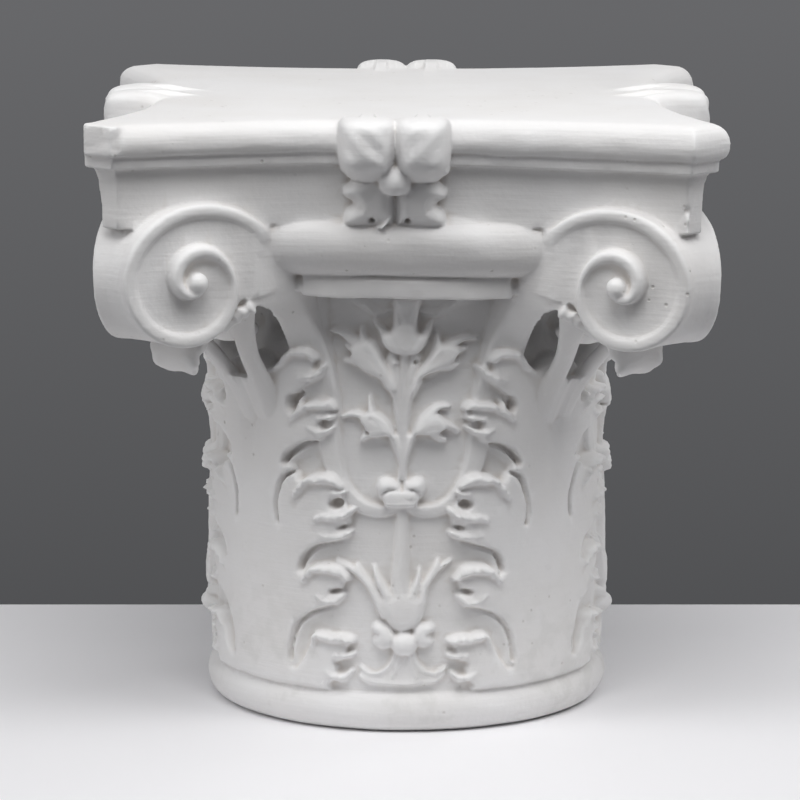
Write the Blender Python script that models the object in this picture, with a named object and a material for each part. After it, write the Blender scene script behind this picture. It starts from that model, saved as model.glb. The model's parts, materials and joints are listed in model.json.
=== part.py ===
"""A Renaissance capital of the composite kind, cast in plaster in one piece.

A round bell stands on a ring. Four acanthus leaves rise up its corners, and between them each
side carries a plant in low relief inside a U-shaped band. The bands grow out of the bell into
pairs of volutes that hold up a concave-sided abacus with a flower in the middle of each side.

Metres, +Z up. The origin is the centre of the underside, and the front faces -Y.
"""
import math

import bmesh
import bpy
from mathutils import Matrix, Vector
from mathutils.geometry import delaunay_2d_cdt

# Driving sizes.
ABACUS_TOP = 0.500
FLOWER_TOP = 0.5045
BELL_RADIUS = 0.158
BELL_TOP = 0.430
RING_RADIUS = 0.166
FOOT_RADIUS = 0.150
TURNED_STEPS = 36

# The echinus and the lip under it: each side's run is flatter in plan than the bell.
LIP_BOTTOM = 0.359
LIP_TOP = 0.375
LIP_REACH = 0.178
LIP_PLAN_RADIUS = 0.280
ECHINUS_TOP = 0.4165
ECHINUS_REACH = 0.210
ECHINUS_PLAN_RADIUS = 0.520
ECHINUS_THICKNESS = 0.026
ECHINUS_HALF_LENGTH = 0.110
ECHINUS_STEPS = 6

# The abacus: four concave sides that meet chamfered corners.
ABACUS_BOTTOM = 0.4175
ABACUS_SIDE_RADIUS = 0.597
ABACUS_SIDE_CENTRE = 0.789
ABACUS_CORNER_REACH = 0.321
ABACUS_SIDE_STEPS = 8

# The volutes: a spiral on a gently hollow face, about an eye.
FACE_RADIUS = 0.480
FACE_CENTRE = 0.670
FACE_PROUD = 0.001
FACE_LEANS_FROM = 0.055
FACE_LEAN = 0.80
EYE_X = 0.166
EYE_Z = 0.376
QUARTER_TURN_RADII = (0.0745, 0.0625, 0.0570, 0.052, 0.036, 0.031, 0.0235, 0.0155, 0.0095)
RIM_HEIGHT = 0.006
BAND_HOLLOW = 0.003

# The scroll's outline is the spiral between two angles in degrees, closed under the end of the
# band by a few more places: along the face and height.
DRUM_START = -60
DRUM_END = 232
THROAT = ((-0.0400, 0.3600), (-0.0700, 0.3660), (-0.0680, 0.3880))

# What is carved on the bell is turned a little against the abacus above it, and the front
# flower sits off centre, as the carver left them.
CARVING_TURN = math.radians(-1.7)
CARVING_TURN_FADES = (0.270, 0.345)
FRONT_FLOWER_SHIFT = -0.011

# Carved pieces reach this far into the bell, so that they join it soundly.
ROOT_RADIUS = 0.148
SIDES = 4
TRIANGLE_BUDGET = 9800

# Thinning leaves the two bearing faces a hair out of true, and this much is brought level.
LEVEL_WITHIN = 0.0015

PLASTER_COLOUR = (0.80, 0.79, 0.78, 1.0)
PLASTER_ROUGHNESS = 0.65


def clear_scene():
    for thing in list(bpy.data.objects):
        bpy.data.objects.remove(thing, do_unlink=True)


def plaster():
    material = bpy.data.materials.new("plaster")
    material.use_nodes = True
    shader = material.node_tree.nodes["Principled BSDF"]
    shader.inputs["Base Color"].default_value = PLASTER_COLOUR
    shader.inputs["Roughness"].default_value = PLASTER_ROUGHNESS
    shader.inputs["Metallic"].default_value = 0.0
    return material


def new_object(name, mesh_data):
    """Make an object from a bmesh, with its faces split into triangles that point outwards."""
    bmesh.ops.remove_doubles(mesh_data, verts=mesh_data.verts, dist=1e-6)
    bmesh.ops.triangulate(mesh_data, faces=mesh_data.faces)
    bmesh.ops.recalc_face_normals(mesh_data, faces=mesh_data.faces)
    mesh = bpy.data.meshes.new(name)
    mesh_data.to_mesh(mesh)
    mesh_data.free()
    piece = bpy.data.objects.new(name, mesh)
    bpy.context.scene.collection.objects.link(piece)
    return piece


def loft(name, rings, start=None, end=None):
    """Skin a stack of closed rings. Each end is closed, to a centre point where one is given."""
    mesh_data = bmesh.new()
    rows = [[mesh_data.verts.new(point) for point in ring] for ring in rings]
    for low, high in zip(rows, rows[1:]):
        for index in range(len(low)):
            after = (index + 1) % len(low)
            mesh_data.faces.new((low[index], low[after], high[after], high[index]))
    for row, centre in ((rows[0], start), (rows[-1], end)):
        if centre is None:
            mesh_data.faces.new(row)
            continue
        hub = mesh_data.verts.new(centre)
        for index in range(len(row)):
            mesh_data.faces.new((row[index], row[(index + 1) % len(row)], hub))
    return new_object(name, mesh_data)


def blend(values, place):
    """Read a smooth curve through evenly spaced values, with place counted in steps."""
    last = len(values) - 1
    index = min(max(int(math.floor(place)), 0), last - 1)
    part = min(max(place - index, 0.0), 1.0)
    before = values[max(index - 1, 0)]
    low = values[index]
    high = values[index + 1]
    beyond = values[min(index + 2, last)]
    return 0.5 * (2.0 * low + (high - before) * part
                  + (2.0 * before - 5.0 * low + 4.0 * high - beyond) * part ** 2
                  + (3.0 * low - before - 3.0 * high + beyond) * part ** 3)


def arc(centre_x, centre_z, reach_x, reach_z, start, end, steps):
    """Points of an elliptical moulding, with angles in degrees from +X."""
    angles = [math.radians(start + (end - start) * step / steps) for step in range(steps + 1)]
    return [(centre_x + reach_x * math.cos(angle), centre_z + reach_z * math.sin(angle))
            for angle in angles]


def on_bell(across, height, radius):
    """A place on the front of the bell: across is measured round the bell's own surface."""
    angle = across / BELL_RADIUS
    return Vector((radius * math.sin(angle), -radius * math.cos(angle), height))


def turn(piece, angle):
    piece.data.transform(Matrix.Rotation(angle, 4, "Z"))
    return piece


def turn_carving(piece):
    """Turn what is carved on the bell by its own small angle, which fades out at the volutes."""
    for vert in piece.data.vertices:
        low, high = CARVING_TURN_FADES
        share = min(1.0, max(0.0, (high - vert.co.z) / (high - low)))
        vert.co = Matrix.Rotation(CARVING_TURN * share, 3, "Z") @ vert.co
    return piece


def mirrored(piece):
    """A copy of a piece on the other half of its side."""
    copy = bpy.data.objects.new(piece.name + "_mirror", piece.data.copy())
    copy.data.transform(Matrix.Scale(-1.0, 4, (1.0, 0.0, 0.0)))
    copy.data.flip_normals()
    bpy.context.scene.collection.objects.link(copy)
    return copy


# The turned core.

def turned_core():
    ring_middle = 0.018
    profile = [(0.0, 0.0)]
    profile += arc(FOOT_RADIUS, ring_middle, RING_RADIUS - FOOT_RADIUS, ring_middle, -90, 60, 5)
    profile += [(BELL_RADIUS, BELL_TOP), (0.0, BELL_TOP)]
    mesh_data = bmesh.new()
    verts = [mesh_data.verts.new((x, 0.0, z)) for x, z in profile]
    edges = [mesh_data.edges.new(pair) for pair in zip(verts, verts[1:])]
    bmesh.ops.spin(mesh_data, geom=verts + edges, axis=(0.0, 0.0, 1.0), cent=(0.0, 0.0, 0.0),
                   angle=math.tau, steps=TURNED_STEPS, use_duplicate=False)
    bmesh.ops.remove_doubles(mesh_data, verts=mesh_data.verts, dist=1e-5)
    return new_object("core", mesh_data)


def echinus():
    """One side's run of the lip and of the thick round moulding that rests on it."""
    middle = (LIP_TOP + ECHINUS_TOP) / 2
    depth = 0.085
    rings = []
    for step in range(ECHINUS_STEPS + 1):
        x = ECHINUS_HALF_LENGTH * (2.0 * step / ECHINUS_STEPS - 1.0)
        lip = LIP_REACH - LIP_PLAN_RADIUS + math.sqrt(LIP_PLAN_RADIUS ** 2 - x ** 2)
        full = ECHINUS_REACH - ECHINUS_PLAN_RADIUS + math.sqrt(ECHINUS_PLAN_RADIUS ** 2 - x ** 2)
        profile = [(depth, LIP_BOTTOM), (lip, LIP_BOTTOM + 0.001), (lip - 0.001, LIP_BOTTOM + 0.005),
                   (lip - 0.011, LIP_TOP)]
        profile += arc(full - ECHINUS_THICKNESS, middle, ECHINUS_THICKNESS,
                       (ECHINUS_TOP - LIP_TOP) / 2, -90, 90, 6)
        profile += [(full - ECHINUS_THICKNESS, BELL_TOP), (depth, BELL_TOP)]
        rings.append([Vector((x, -reach, height)) for reach, height in profile])
    return loft("echinus", rings)


# The abacus.

def abacus_ring(offset, height):
    """The abacus's outline at one height, grown outwards by offset."""
    radius = ABACUS_SIDE_RADIUS - offset
    corner_sum = (ABACUS_CORNER_REACH + 0.76 * offset) * math.sqrt(2.0)
    gap = ABACUS_SIDE_CENTRE - corner_sum
    half = (math.sqrt(2.0 * radius ** 2 - gap ** 2) - gap) / 2.0
    ring = []
    for side in range(SIDES):
        rotation = Matrix.Rotation(side * math.pi / 2, 3, "Z")
        for step in range(ABACUS_SIDE_STEPS + 1):
            x = half * (2.0 * step / ABACUS_SIDE_STEPS - 1.0)
            y = -(ABACUS_SIDE_CENTRE - math.sqrt(radius ** 2 - x ** 2))
            ring.append(rotation @ Vector((x, y, height)))
    return ring


def abacus():
    """A plain hollow-curved member, a fillet, and a half-round edge under the flat top."""
    body = [(-0.004, ABACUS_BOTTOM), (-0.0035, 0.444), (0.0, 0.4645)]
    fillet = [(0.007, 0.4655), (0.007, 0.4750)]
    edge = [(0.0110, 0.4765), (0.0145, 0.4840), (0.0130, 0.4930), (0.0060, ABACUS_TOP)]
    return loft("abacus", [abacus_ring(offset, z) for offset, z in body + fillet + edge])


def lump(name, centre, reach, squareness, around_steps, up_steps):
    """A swollen, rather square form: a sphere stretched to its reaches with fuller corners."""
    mesh_data = bmesh.new()
    bmesh.ops.create_uvsphere(mesh_data, u_segments=around_steps, v_segments=up_steps, radius=1.0)
    for vert in mesh_data.verts:
        for axis in range(3):
            share = vert.co[axis]
            full = math.copysign(abs(share) ** squareness, share)
            vert.co[axis] = centre[axis] + reach[axis] * full
    return new_object(name, mesh_data)


def flower():
    """Two full upper petals, two flatter lower ones, and a round middle."""
    middle = 0.457
    upper = (FLOWER_TOP - middle) / 2
    lower = (middle - ABACUS_BOTTOM) / 2
    pieces = [lump("seed", (0.0, -0.2310, middle), (0.0120, 0.0130, 0.0120), 1.0, 8, 5)]
    for side in (-1, 1):
        pieces.append(lump("high_petal", (side * 0.0190, -0.200, FLOWER_TOP - upper),
                           (0.0235, 0.047, upper), 0.80, 10, 6))
        pieces.append(lump("low_petal", (side * 0.0180, -0.190, ABACUS_BOTTOM + lower),
                           (0.0225, 0.034, lower), 0.80, 10, 6))
    return pieces


# The volutes.

def spiral_radius(degrees):
    """The spiral's radius, with the angle counted from straight up towards the corner."""
    return blend(QUARTER_TURN_RADII, (degrees + 90.0) / 90.0)


def on_face(along, height, proud):
    """A place on a volute's face: along is measured from the eye, towards the corner."""
    bearing = math.asin(EYE_X / FACE_RADIUS) + along / FACE_RADIUS
    reach = FACE_CENTRE - FACE_RADIUS * math.cos(bearing)
    lean_back = FACE_LEAN * max(0.0, -along - FACE_LEANS_FROM)
    return Vector((FACE_RADIUS * math.sin(bearing) - proud * math.sin(bearing),
                   -(reach - lean_back + proud * math.cos(bearing)), height))


def on_spiral(degrees, radius, proud):
    angle = math.radians(degrees)
    return on_face(radius * math.sin(angle), EYE_Z + radius * math.cos(angle), proud)


def swapped(point):
    """The same place on the next side's face, across the corner's own diagonal."""
    return Vector((-point.y, -point.x, point.z))


def volute_drum():
    """The scroll between the two faces of one corner, with its outer band a little hollow."""
    steps = 15
    angles = [DRUM_START + (DRUM_END - DRUM_START) * step / steps for step in range(steps + 1)]
    face = [on_spiral(angle, spiral_radius(angle), FACE_PROUD) for angle in angles]
    face += [on_face(along, height, FACE_PROUD) for along, height in THROAT]
    middle = [(point + swapped(point)) / 2 for point in face]
    for point in middle:
        inwards = Vector((point.x, point.y, 0.0)).normalized() * BAND_HOLLOW
        point -= inwards
    eye = on_spiral(0, 0, 0.0)
    return loft("drum", [face, middle, [swapped(point) for point in face]],
                start=eye, end=swapped(eye))


def volute_rim():
    """The raised rim, which winds inwards and swells towards the eye."""
    start, end = -62.0, 690.0
    steps = 27
    rings = []
    for step in range(steps + 1):
        angle = start + (end - start) * step / steps
        inward = max(0.0, min(1.0, (angle - 200.0) / 220.0))
        radius = spiral_radius(angle) + 0.0006
        width = min(0.0065 + 0.0045 * inward, 0.75 * radius)
        height = RIM_HEIGHT + 0.005 * inward
        rings.append([on_spiral(angle, radius, -0.006),
                      on_spiral(angle, radius - 0.0008, height * 0.92),
                      on_spiral(angle, radius - width * 0.8, height),
                      on_spiral(angle, radius - width - 0.002, -0.006)])
    return loft("rim", rings)


# Where the band runs on over the volute's face: its outer edge and its edge on the panel's side,
# along the face and in height, and how proud it stands. Its back is buried at this share of its
# distance from the axis.
JOINING = (
    ((-0.0642, 0.3490), (-0.0850, 0.3610), 0.0025),
    ((-0.0520, 0.3565), (-0.0760, 0.3780), 0.0025),
    ((-0.0370, 0.3620), (-0.0620, 0.3990), 0.0004),
)
BURIED = 0.72

# Each band as it climbs: across and height of its edge on the panel's side, its width, and how
# far that edge and the outer one stand from the bell's axis.
BAND_STATIONS = (
    (0.008, 0.1900, 0.006, 0.1625, 0.1610),
    (0.018, 0.1885, 0.010, 0.1630, 0.1615),
    (0.029, 0.1890, 0.013, 0.1635, 0.1620),
    (0.040, 0.2000, 0.014, 0.1640, 0.1625),
    (0.045, 0.2200, 0.016, 0.1645, 0.1630),
    (0.048, 0.2450, 0.019, 0.1650, 0.1635),
    (0.053, 0.2800, 0.024, 0.1655, 0.1650),
    (0.062, 0.3150, 0.022, 0.1670, 0.1750),
    (0.068, 0.3370, 0.013, 0.1760, 0.1930),
)


def buried(point):
    return Vector((point.x * BURIED, point.y * BURIED, point.z))


def band():
    """One half of the U-shaped band, from the knot up to where it becomes the volute."""
    rings = []
    for index, (across, height, width, edge_radius, outer_radius) in enumerate(BAND_STATIONS):
        before = BAND_STATIONS[max(index - 1, 0)]
        after = BAND_STATIONS[min(index + 1, len(BAND_STATIONS) - 1)]
        way = Vector((after[0] - before[0], after[1] - before[1])).normalized()
        outer = Vector((across, height)) + Vector((way.y, -way.x)) * width
        rings.append([on_bell(across, height, ROOT_RADIUS), on_bell(across, height, edge_radius),
                      on_bell(outer.x, outer.y, outer_radius),
                      on_bell(outer.x, outer.y, ROOT_RADIUS)])
    for (outer_along, outer_height), (inner_along, inner_height), proud in JOINING:
        edge = on_face(inner_along, inner_height, proud)
        outer = on_face(outer_along, outer_height, proud)
        rings.append([buried(edge), edge, outer, buried(outer)])
    return loft("band", rings)


# The leaves.

# One row for each lobe, from the foot up. Angles are from the leaf's middle, in degrees: the
# lobe's toe (angle, height), its tip (angle, height), where its rim meets the leaf's body
# (angle, height), and the drilled end of the slot above it (angle, height).
LOBES = (
    (30.0, 0.050, 32.5, 0.083, 19.5, 0.079, 14.2, 0.049),
    (28.0, 0.112, 30.0, 0.128, 20.5, 0.130, 17.2, 0.122),
    (28.8, 0.163, 30.0, 0.200, 16.0, 0.196, 10.2, 0.171),
    (23.3, 0.238, 25.3, 0.265, 16.5, 0.260, 13.5, 0.255),
    (22.5, 0.288, 20.5, 0.314, 10.5, 0.309, 8.0, 0.290),
)
LEAF_FOOT = 0.033
LEAF_TOP = 0.302
LEAF_FACE_RADIUS = 0.1645
LEAF_SLOPE = 0.034
LEAF_LEANS_FROM = 0.255
LEAF_LEAN = 4.2
LEAF_BODY = math.radians(13.0)
LOBE_SPREAD = math.radians(9.0)
LOBE_RIM = 0.0065
LOBE_RIM_HEIGHT = 0.009
LOBE_HOLLOW = 0.0025
LOBE_HOLLOW_HEIGHT = 0.014


def leaf_half_outline():
    """The leaf's edge on one side, as (angle, height), from the foot up."""
    outline = [(23.0, LEAF_FOOT), (27.0, 0.045)]
    for row, (toe, toe_z, tip, tip_z, rim, rim_z, slot, slot_z) in enumerate(LOBES):
        bite = 0.35 * (tip_z - toe_z)
        outline += [(toe, toe_z), (toe - 3.8, toe_z + 0.8 * bite)]
        outline += [(tip, tip_z), ((tip + rim) / 2, tip_z + 0.006), (rim, rim_z)]
        if row == len(LOBES) - 1:
            continue
        next_toe, next_toe_z = LOBES[row + 1][0], LOBES[row + 1][1]
        outline += [(slot + 2.0, slot_z + 0.002), (slot - 0.4, slot_z + 0.004)]
        outline += [(slot + 0.30 * (next_toe - slot), next_toe_z - 0.016)]
    outline += [(7.5, 0.296), (4.0, LEAF_TOP)]
    return [(math.radians(angle), height) for angle, height in outline]


def leaf_radius(angle, height):
    """How far the leaf's face stands from the axis: it leans out at the top, its lobes are
    hollow like hands, and their upper rims roll outwards."""
    lean = max(0.0, height - LEAF_LEANS_FROM)
    radius = LEAF_FACE_RADIUS + LEAF_SLOPE * height + LEAF_LEAN * lean ** 2
    on_lobe = min(1.0, max(0.0, (abs(angle) - LEAF_BODY) / LOBE_SPREAD))
    for lobe in LOBES:
        toe_z, tip_z = lobe[1], lobe[3]
        above = (height - tip_z) / LOBE_RIM_HEIGHT
        below = (height - (toe_z + 0.45 * (tip_z - toe_z))) / LOBE_HOLLOW_HEIGHT
        radius += on_lobe * LOBE_RIM * math.exp(-above ** 2)
        radius -= on_lobe * LOBE_HOLLOW * math.exp(-below ** 2)
    return radius


def fill_outline(outline, spacing_across, spacing_up):
    """Triangles that fill a closed outline of (across, height) points, with a grid inside it."""
    edges = [(index, (index + 1) % len(outline)) for index in range(len(outline))]
    low = [min(point[axis] for point in outline) for axis in range(2)]
    high = [max(point[axis] for point in outline) for axis in range(2)]
    spacing = (spacing_across, spacing_up)
    counts = [max(1, round((high[axis] - low[axis]) / spacing[axis])) for axis in range(2)]
    inside = []
    for row in range(1, counts[1]):
        for column in range(1, counts[0]):
            point = (low[0] + (high[0] - low[0]) * column / counts[0],
                     low[1] + (high[1] - low[1]) * row / counts[1])
            if clear_of_edge(point, outline, spacing):
                inside.append(point)
    points = [Vector(point) for point in list(outline) + inside]
    verts, _, faces, _, _, _ = delaunay_2d_cdt(points, edges, [], 1, 1e-7)
    return verts, faces, len(outline)


def clear_of_edge(point, outline, spacing):
    """Whether a point lies inside the outline and not too near it."""
    crossings = 0
    for index, start in enumerate(outline):
        end = outline[(index + 1) % len(outline)]
        if (start[1] > point[1]) != (end[1] > point[1]):
            share = (point[1] - start[1]) / (end[1] - start[1])
            crossings += point[0] < start[0] + share * (end[0] - start[0])
        across = (point[0] - start[0]) / spacing[0]
        up = (point[1] - start[1]) / spacing[1]
        if math.hypot(across, up) < 0.42:
            return False
    return crossings % 2 == 1


def relief(name, outline, spacing, place_front, place_back):
    """A closed solid between two faces of the same outline, one carved and one in the bell."""
    flat, faces, rim = fill_outline(outline, *spacing)
    mesh_data = bmesh.new()
    front = [mesh_data.verts.new(place_front(point.x, point.y)) for point in flat]
    back = [mesh_data.verts.new(place_back(point.x, point.y)) for point in flat]
    for face in faces:
        mesh_data.faces.new([front[index] for index in face])
        mesh_data.faces.new([back[index] for index in reversed(face)])
    for index in range(rim):
        after = (index + 1) % rim
        mesh_data.faces.new((front[index], back[index], back[after], front[after]))
    return new_object(name, mesh_data)


def leaf():
    """A leaf on the front of the bell, ready to be turned to its corner."""
    half = leaf_half_outline()
    outline = half + [(-angle, height) for angle, height in reversed(half)]

    def front(angle, height):
        return on_bell(angle * BELL_RADIUS, height, leaf_radius(angle, height))

    def back(angle, height):
        depth = ROOT_RADIUS if height < 0.29 else ROOT_RADIUS + 1.1 * (height - 0.29)
        return on_bell(angle * BELL_RADIUS, height, depth)

    return relief("leaf", outline, (math.radians(8.5), 0.018), front, back)


# The leaf's tip as it leans out and curls over under the volutes: distance from the axis,
# height, half width and half thickness.
TIP_STATIONS = (
    (0.160, 0.262, 0.022, 0.0080),
    (0.178, 0.292, 0.015, 0.0070),
    (0.194, 0.315, 0.011, 0.0065),
    (0.208, 0.331, 0.014, 0.0060),
    (0.226, 0.339, 0.025, 0.0055),
    (0.245, 0.334, 0.030, 0.0055),
    (0.256, 0.318, 0.029, 0.0050),
    (0.254, 0.304, 0.023, 0.0045),
    (0.246, 0.297, 0.013, 0.0035),
)


# The necks on either side of the tip, by which the leaf's shoulders reach up to the volutes:
# distance to the side, distance from the axis and height.
NECK_STATIONS = (
    (0.018, 0.178, 0.280),
    (0.026, 0.196, 0.305),
    (0.035, 0.209, 0.325),
    (0.044, 0.2195, 0.345),
    (0.051, 0.2270, 0.366),
)
NECK_HALF_WIDTH = 0.0080
NECK_HALF_THICKNESS = 0.0070


def neck():
    """One neck. Its broad face looks towards the front of the panel beside it."""
    broad = Vector((-1.0, -1.0, 0.0)).normalized() * NECK_HALF_WIDTH
    thick = Vector((1.0, -1.0, 0.0)).normalized() * NECK_HALF_THICKNESS
    rings = []
    for aside, reach, height in NECK_STATIONS:
        middle = Vector((aside, -reach, height))
        rings.append([middle + broad * math.cos(math.tau * side / 6)
                      + thick * math.sin(math.tau * side / 6) for side in range(6)])
    return loft("neck", rings)


def leaf_tip():
    rings = []
    for index, (reach, height, half, thick) in enumerate(TIP_STATIONS):
        before = TIP_STATIONS[max(index - 1, 0)]
        after = TIP_STATIONS[min(index + 1, len(TIP_STATIONS) - 1)]
        way = Vector((after[0] - before[0], after[1] - before[1])).normalized()
        ring = []
        for side in range(6):
            angle = math.tau * side / 6
            x = half * math.cos(angle)
            step = thick * math.sin(angle) * 1.08
            droop = 0.25 * half * (abs(x) / half) ** 2 if index > 3 else 0.0
            ring.append(Vector((x, -(reach - way.y * step), height + way.x * step - droop)))
        rings.append(ring)
    return loft("leaf_tip", rings)


# The plant on each panel.

def boss(name, outline, height, root=ROOT_RADIUS, shrink=0.5):
    """A raised shape on the bell: upright edges, then sloping in to a smaller top."""
    middle = (sum(point[0] for point in outline) / len(outline),
              sum(point[1] for point in outline) / len(outline))
    inner = [(middle[0] + (x - middle[0]) * shrink, middle[1] + (z - middle[1]) * shrink)
             for x, z in outline]
    return loft(name, [[on_bell(x, z, root) for x, z in outline],
                       [on_bell(x, z, BELL_RADIUS + 0.45 * height) for x, z in outline],
                       [on_bell(x, z, BELL_RADIUS + height) for x, z in inner]])


def oval(centre_x, centre_z, reach_x, reach_z, count):
    """An oval outline on the panel."""
    angles = [math.tau * step / count for step in range(count)]
    return [(centre_x + reach_x * math.cos(angle), centre_z + reach_z * math.sin(angle))
            for angle in angles]


def side_leaf(name, stem_x, stem_z, tip_x, tip_z, half):
    """A small three-pointed leaf that springs from the stem: a bent kite with two side points."""
    along = Vector((tip_x - stem_x, tip_z - stem_z))
    across = Vector((-along.y, along.x)).normalized() * half
    start = Vector((stem_x, stem_z))
    shape = ((0.0, -0.22), (0.38, -0.55), (0.62, -1.25), (0.72, -0.55), (1.0, 0.0), (0.68, 0.45),
             (0.60, 1.15), (0.40, 0.62), (0.0, 0.22))
    return boss(name, [tuple(start + along * far + across * out) for far, out in shape], 0.0085)


def panel_plant():
    """The plant up the middle of one panel, and the knot that ties the band to it."""
    flower_top = [(-0.007, 0.300), (-0.022, 0.316), (-0.021, 0.334), (-0.011, 0.329),
                  (-0.011, 0.354), (0.011, 0.354), (0.010, 0.329), (0.022, 0.335),
                  (0.021, 0.316), (0.007, 0.300)]
    upper_stem = [(-0.0050, 0.190), (-0.0045, 0.240), (-0.0085, 0.290), (-0.006, 0.305),
                  (0.006, 0.305), (0.0085, 0.290), (0.0045, 0.240), (0.0050, 0.190)]
    cup = [(-0.006, 0.085), (-0.019, 0.098), (-0.025, 0.118), (-0.030, 0.128), (-0.050, 0.142),
           (-0.028, 0.1335), (-0.020, 0.136), (-0.010, 0.114), (-0.008, 0.150), (-0.0045, 0.184),
           (0.0045, 0.184), (0.008, 0.150), (0.010, 0.114), (0.020, 0.136), (0.028, 0.1335),
           (0.050, 0.142), (0.030, 0.128), (0.025, 0.118), (0.019, 0.098), (0.006, 0.085)]
    foot = [(-0.006, 0.064), (-0.013, 0.055), (-0.033, 0.054), (-0.029, 0.043),
            (0.029, 0.043), (0.033, 0.054), (0.013, 0.055), (0.006, 0.064)]
    pieces = [boss("flower_top", flower_top, 0.011, shrink=0.6),
              boss("upper_stem", upper_stem, 0.006, shrink=0.7),
              relief("cup", cup, (0.014, 0.024), cup_face, root_face),
              boss("foot", foot, 0.007, shrink=0.6),
              boss("seed", oval(0.0, 0.0725, 0.0115, 0.0110, 7), 0.013),
              boss("knot_bar", oval(0.0, 0.1915, 0.0125, 0.0065, 6), 0.012, shrink=0.6)]
    for side in (-1, 1):
        pieces += [boss("bud", oval(side * 0.0165, 0.0810, 0.0090, 0.0100, 6), 0.010),
                   boss("knot_loop", oval(side * 0.0105, 0.2015, 0.0098, 0.0080, 6), 0.009),
                   side_leaf("high_leaf", side * 0.004, 0.268, side * 0.056, 0.324, side * 0.0125),
                   side_leaf("low_leaf", side * 0.002, 0.226, side * 0.045, 0.254, side * 0.0115)]
    return pieces


def cup_face(across, height):
    """The cup swells over the stem and thins out along its two horns."""
    swell = max(0.0, 1.0 - (across / 0.030) ** 2)
    return on_bell(across, height, BELL_RADIUS + 0.0035 + 0.0055 * swell)


def root_face(across, height):
    return on_bell(across, height, ROOT_RADIUS)


# Putting the capital together.

def around(make, first_angle=0.0):
    """Make a group of pieces for each of the four sides, one after another."""
    return [turn(piece, first_angle + side * math.pi / 2)
            for side in range(SIDES) for piece in make()]


def volutes():
    rim = volute_rim()
    return [volute_drum(), rim, across_corner(rim)]


def across_corner(piece):
    """A copy of a piece on the other face of its corner."""
    copy = bpy.data.objects.new(piece.name + "_pair", piece.data.copy())
    copy.data.transform(Matrix(((0, -1, 0, 0), (-1, 0, 0, 0), (0, 0, 1, 0), (0, 0, 0, 1))))
    copy.data.flip_normals()
    bpy.context.scene.collection.objects.link(copy)
    return copy


def panel():
    half = band()
    return [half, mirrored(half)] + panel_plant()


def leaf_and_tip():
    one_neck = neck()
    return [leaf(), leaf_tip(), one_neck, mirrored(one_neck)]


def apply_modifiers(piece):
    graph = bpy.context.evaluated_depsgraph_get()
    mesh = bpy.data.meshes.new_from_object(piece.evaluated_get(graph))
    piece.modifiers.clear()
    piece.data = mesh


def join_into(base, pieces):
    """Unite every piece with the base in one Boolean, and remove the pieces."""
    group = bpy.data.collections.new("carving")
    bpy.context.scene.collection.children.link(group)
    for piece in pieces:
        bpy.context.scene.collection.objects.unlink(piece)
        group.objects.link(piece)
    union = base.modifiers.new("union", "BOOLEAN")
    union.operation = "UNION"
    union.solver = "EXACT"
    union.operand_type = "COLLECTION"
    union.collection = group
    union.use_self = True
    apply_modifiers(base)
    for piece in pieces:
        bpy.data.objects.remove(piece, do_unlink=True)
    bpy.data.collections.remove(group)


def fill_pockets(mesh_data):
    """Fill the small pockets that the union encloses, by keeping only the outer skin."""
    waiting = [max(mesh_data.verts, key=lambda vert: vert.co.z)]
    outer = set(waiting)
    while waiting:
        vert = waiting.pop()
        for edge in vert.link_edges:
            other = edge.other_vert(vert)
            if other not in outer:
                outer.add(other)
                waiting.append(other)
    pockets = [vert for vert in mesh_data.verts if vert not in outer]
    bmesh.ops.delete(mesh_data, geom=pockets, context="VERTS")


def tidy_mesh(piece):
    """Merge the slivers that the union leaves, and thin the mesh where it is nearly flat."""
    mesh_data = bmesh.new()
    mesh_data.from_mesh(piece.data)
    fill_pockets(mesh_data)
    bmesh.ops.remove_doubles(mesh_data, verts=mesh_data.verts, dist=2e-5)
    bmesh.ops.dissolve_degenerate(mesh_data, edges=mesh_data.edges, dist=1e-5)
    bmesh.ops.dissolve_limit(mesh_data, angle_limit=math.radians(1.0), verts=mesh_data.verts,
                             edges=mesh_data.edges)
    bmesh.ops.triangulate(mesh_data, faces=mesh_data.faces)
    faces = len(mesh_data.faces)
    mesh_data.to_mesh(piece.data)
    mesh_data.free()
    thin = piece.modifiers.new("thin", "DECIMATE")
    thin.ratio = TRIANGLE_BUDGET / faces
    apply_modifiers(piece)


def level_bearings(piece):
    """Bring what lies within a hair of the underside and of the flat top exactly into them."""
    for vert in piece.data.vertices:
        for bearing in (0.0, ABACUS_TOP):
            if abs(vert.co.z - bearing) < LEVEL_WITHIN:
                vert.co.z = bearing


def build_capital():
    flowers = around(flower)
    for piece in flowers[:len(flowers) // SIDES]:
        piece.data.transform(Matrix.Translation((FRONT_FLOWER_SHIFT, 0.0, 0.0)))
    carving = around(panel) + around(leaf_and_tip, math.pi / 4)
    pieces = [abacus()] + flowers + around(volutes) + around(lambda: [echinus()])
    pieces += [turn_carving(piece) for piece in carving]
    capital = turned_core()
    capital.name = "capital"
    join_into(capital, pieces)
    tidy_mesh(capital)
    level_bearings(capital)
    capital.data.name = "capital"
    capital.data.materials.clear()
    capital.data.materials.append(plaster())
    capital.data.shade_smooth()
    capital.data.set_sharp_from_angle(angle=math.radians(30))
    return capital


clear_scene()
build_capital()
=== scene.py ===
import json
import math

import bpy
import numpy as np
from mathutils import Matrix, Vector

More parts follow.
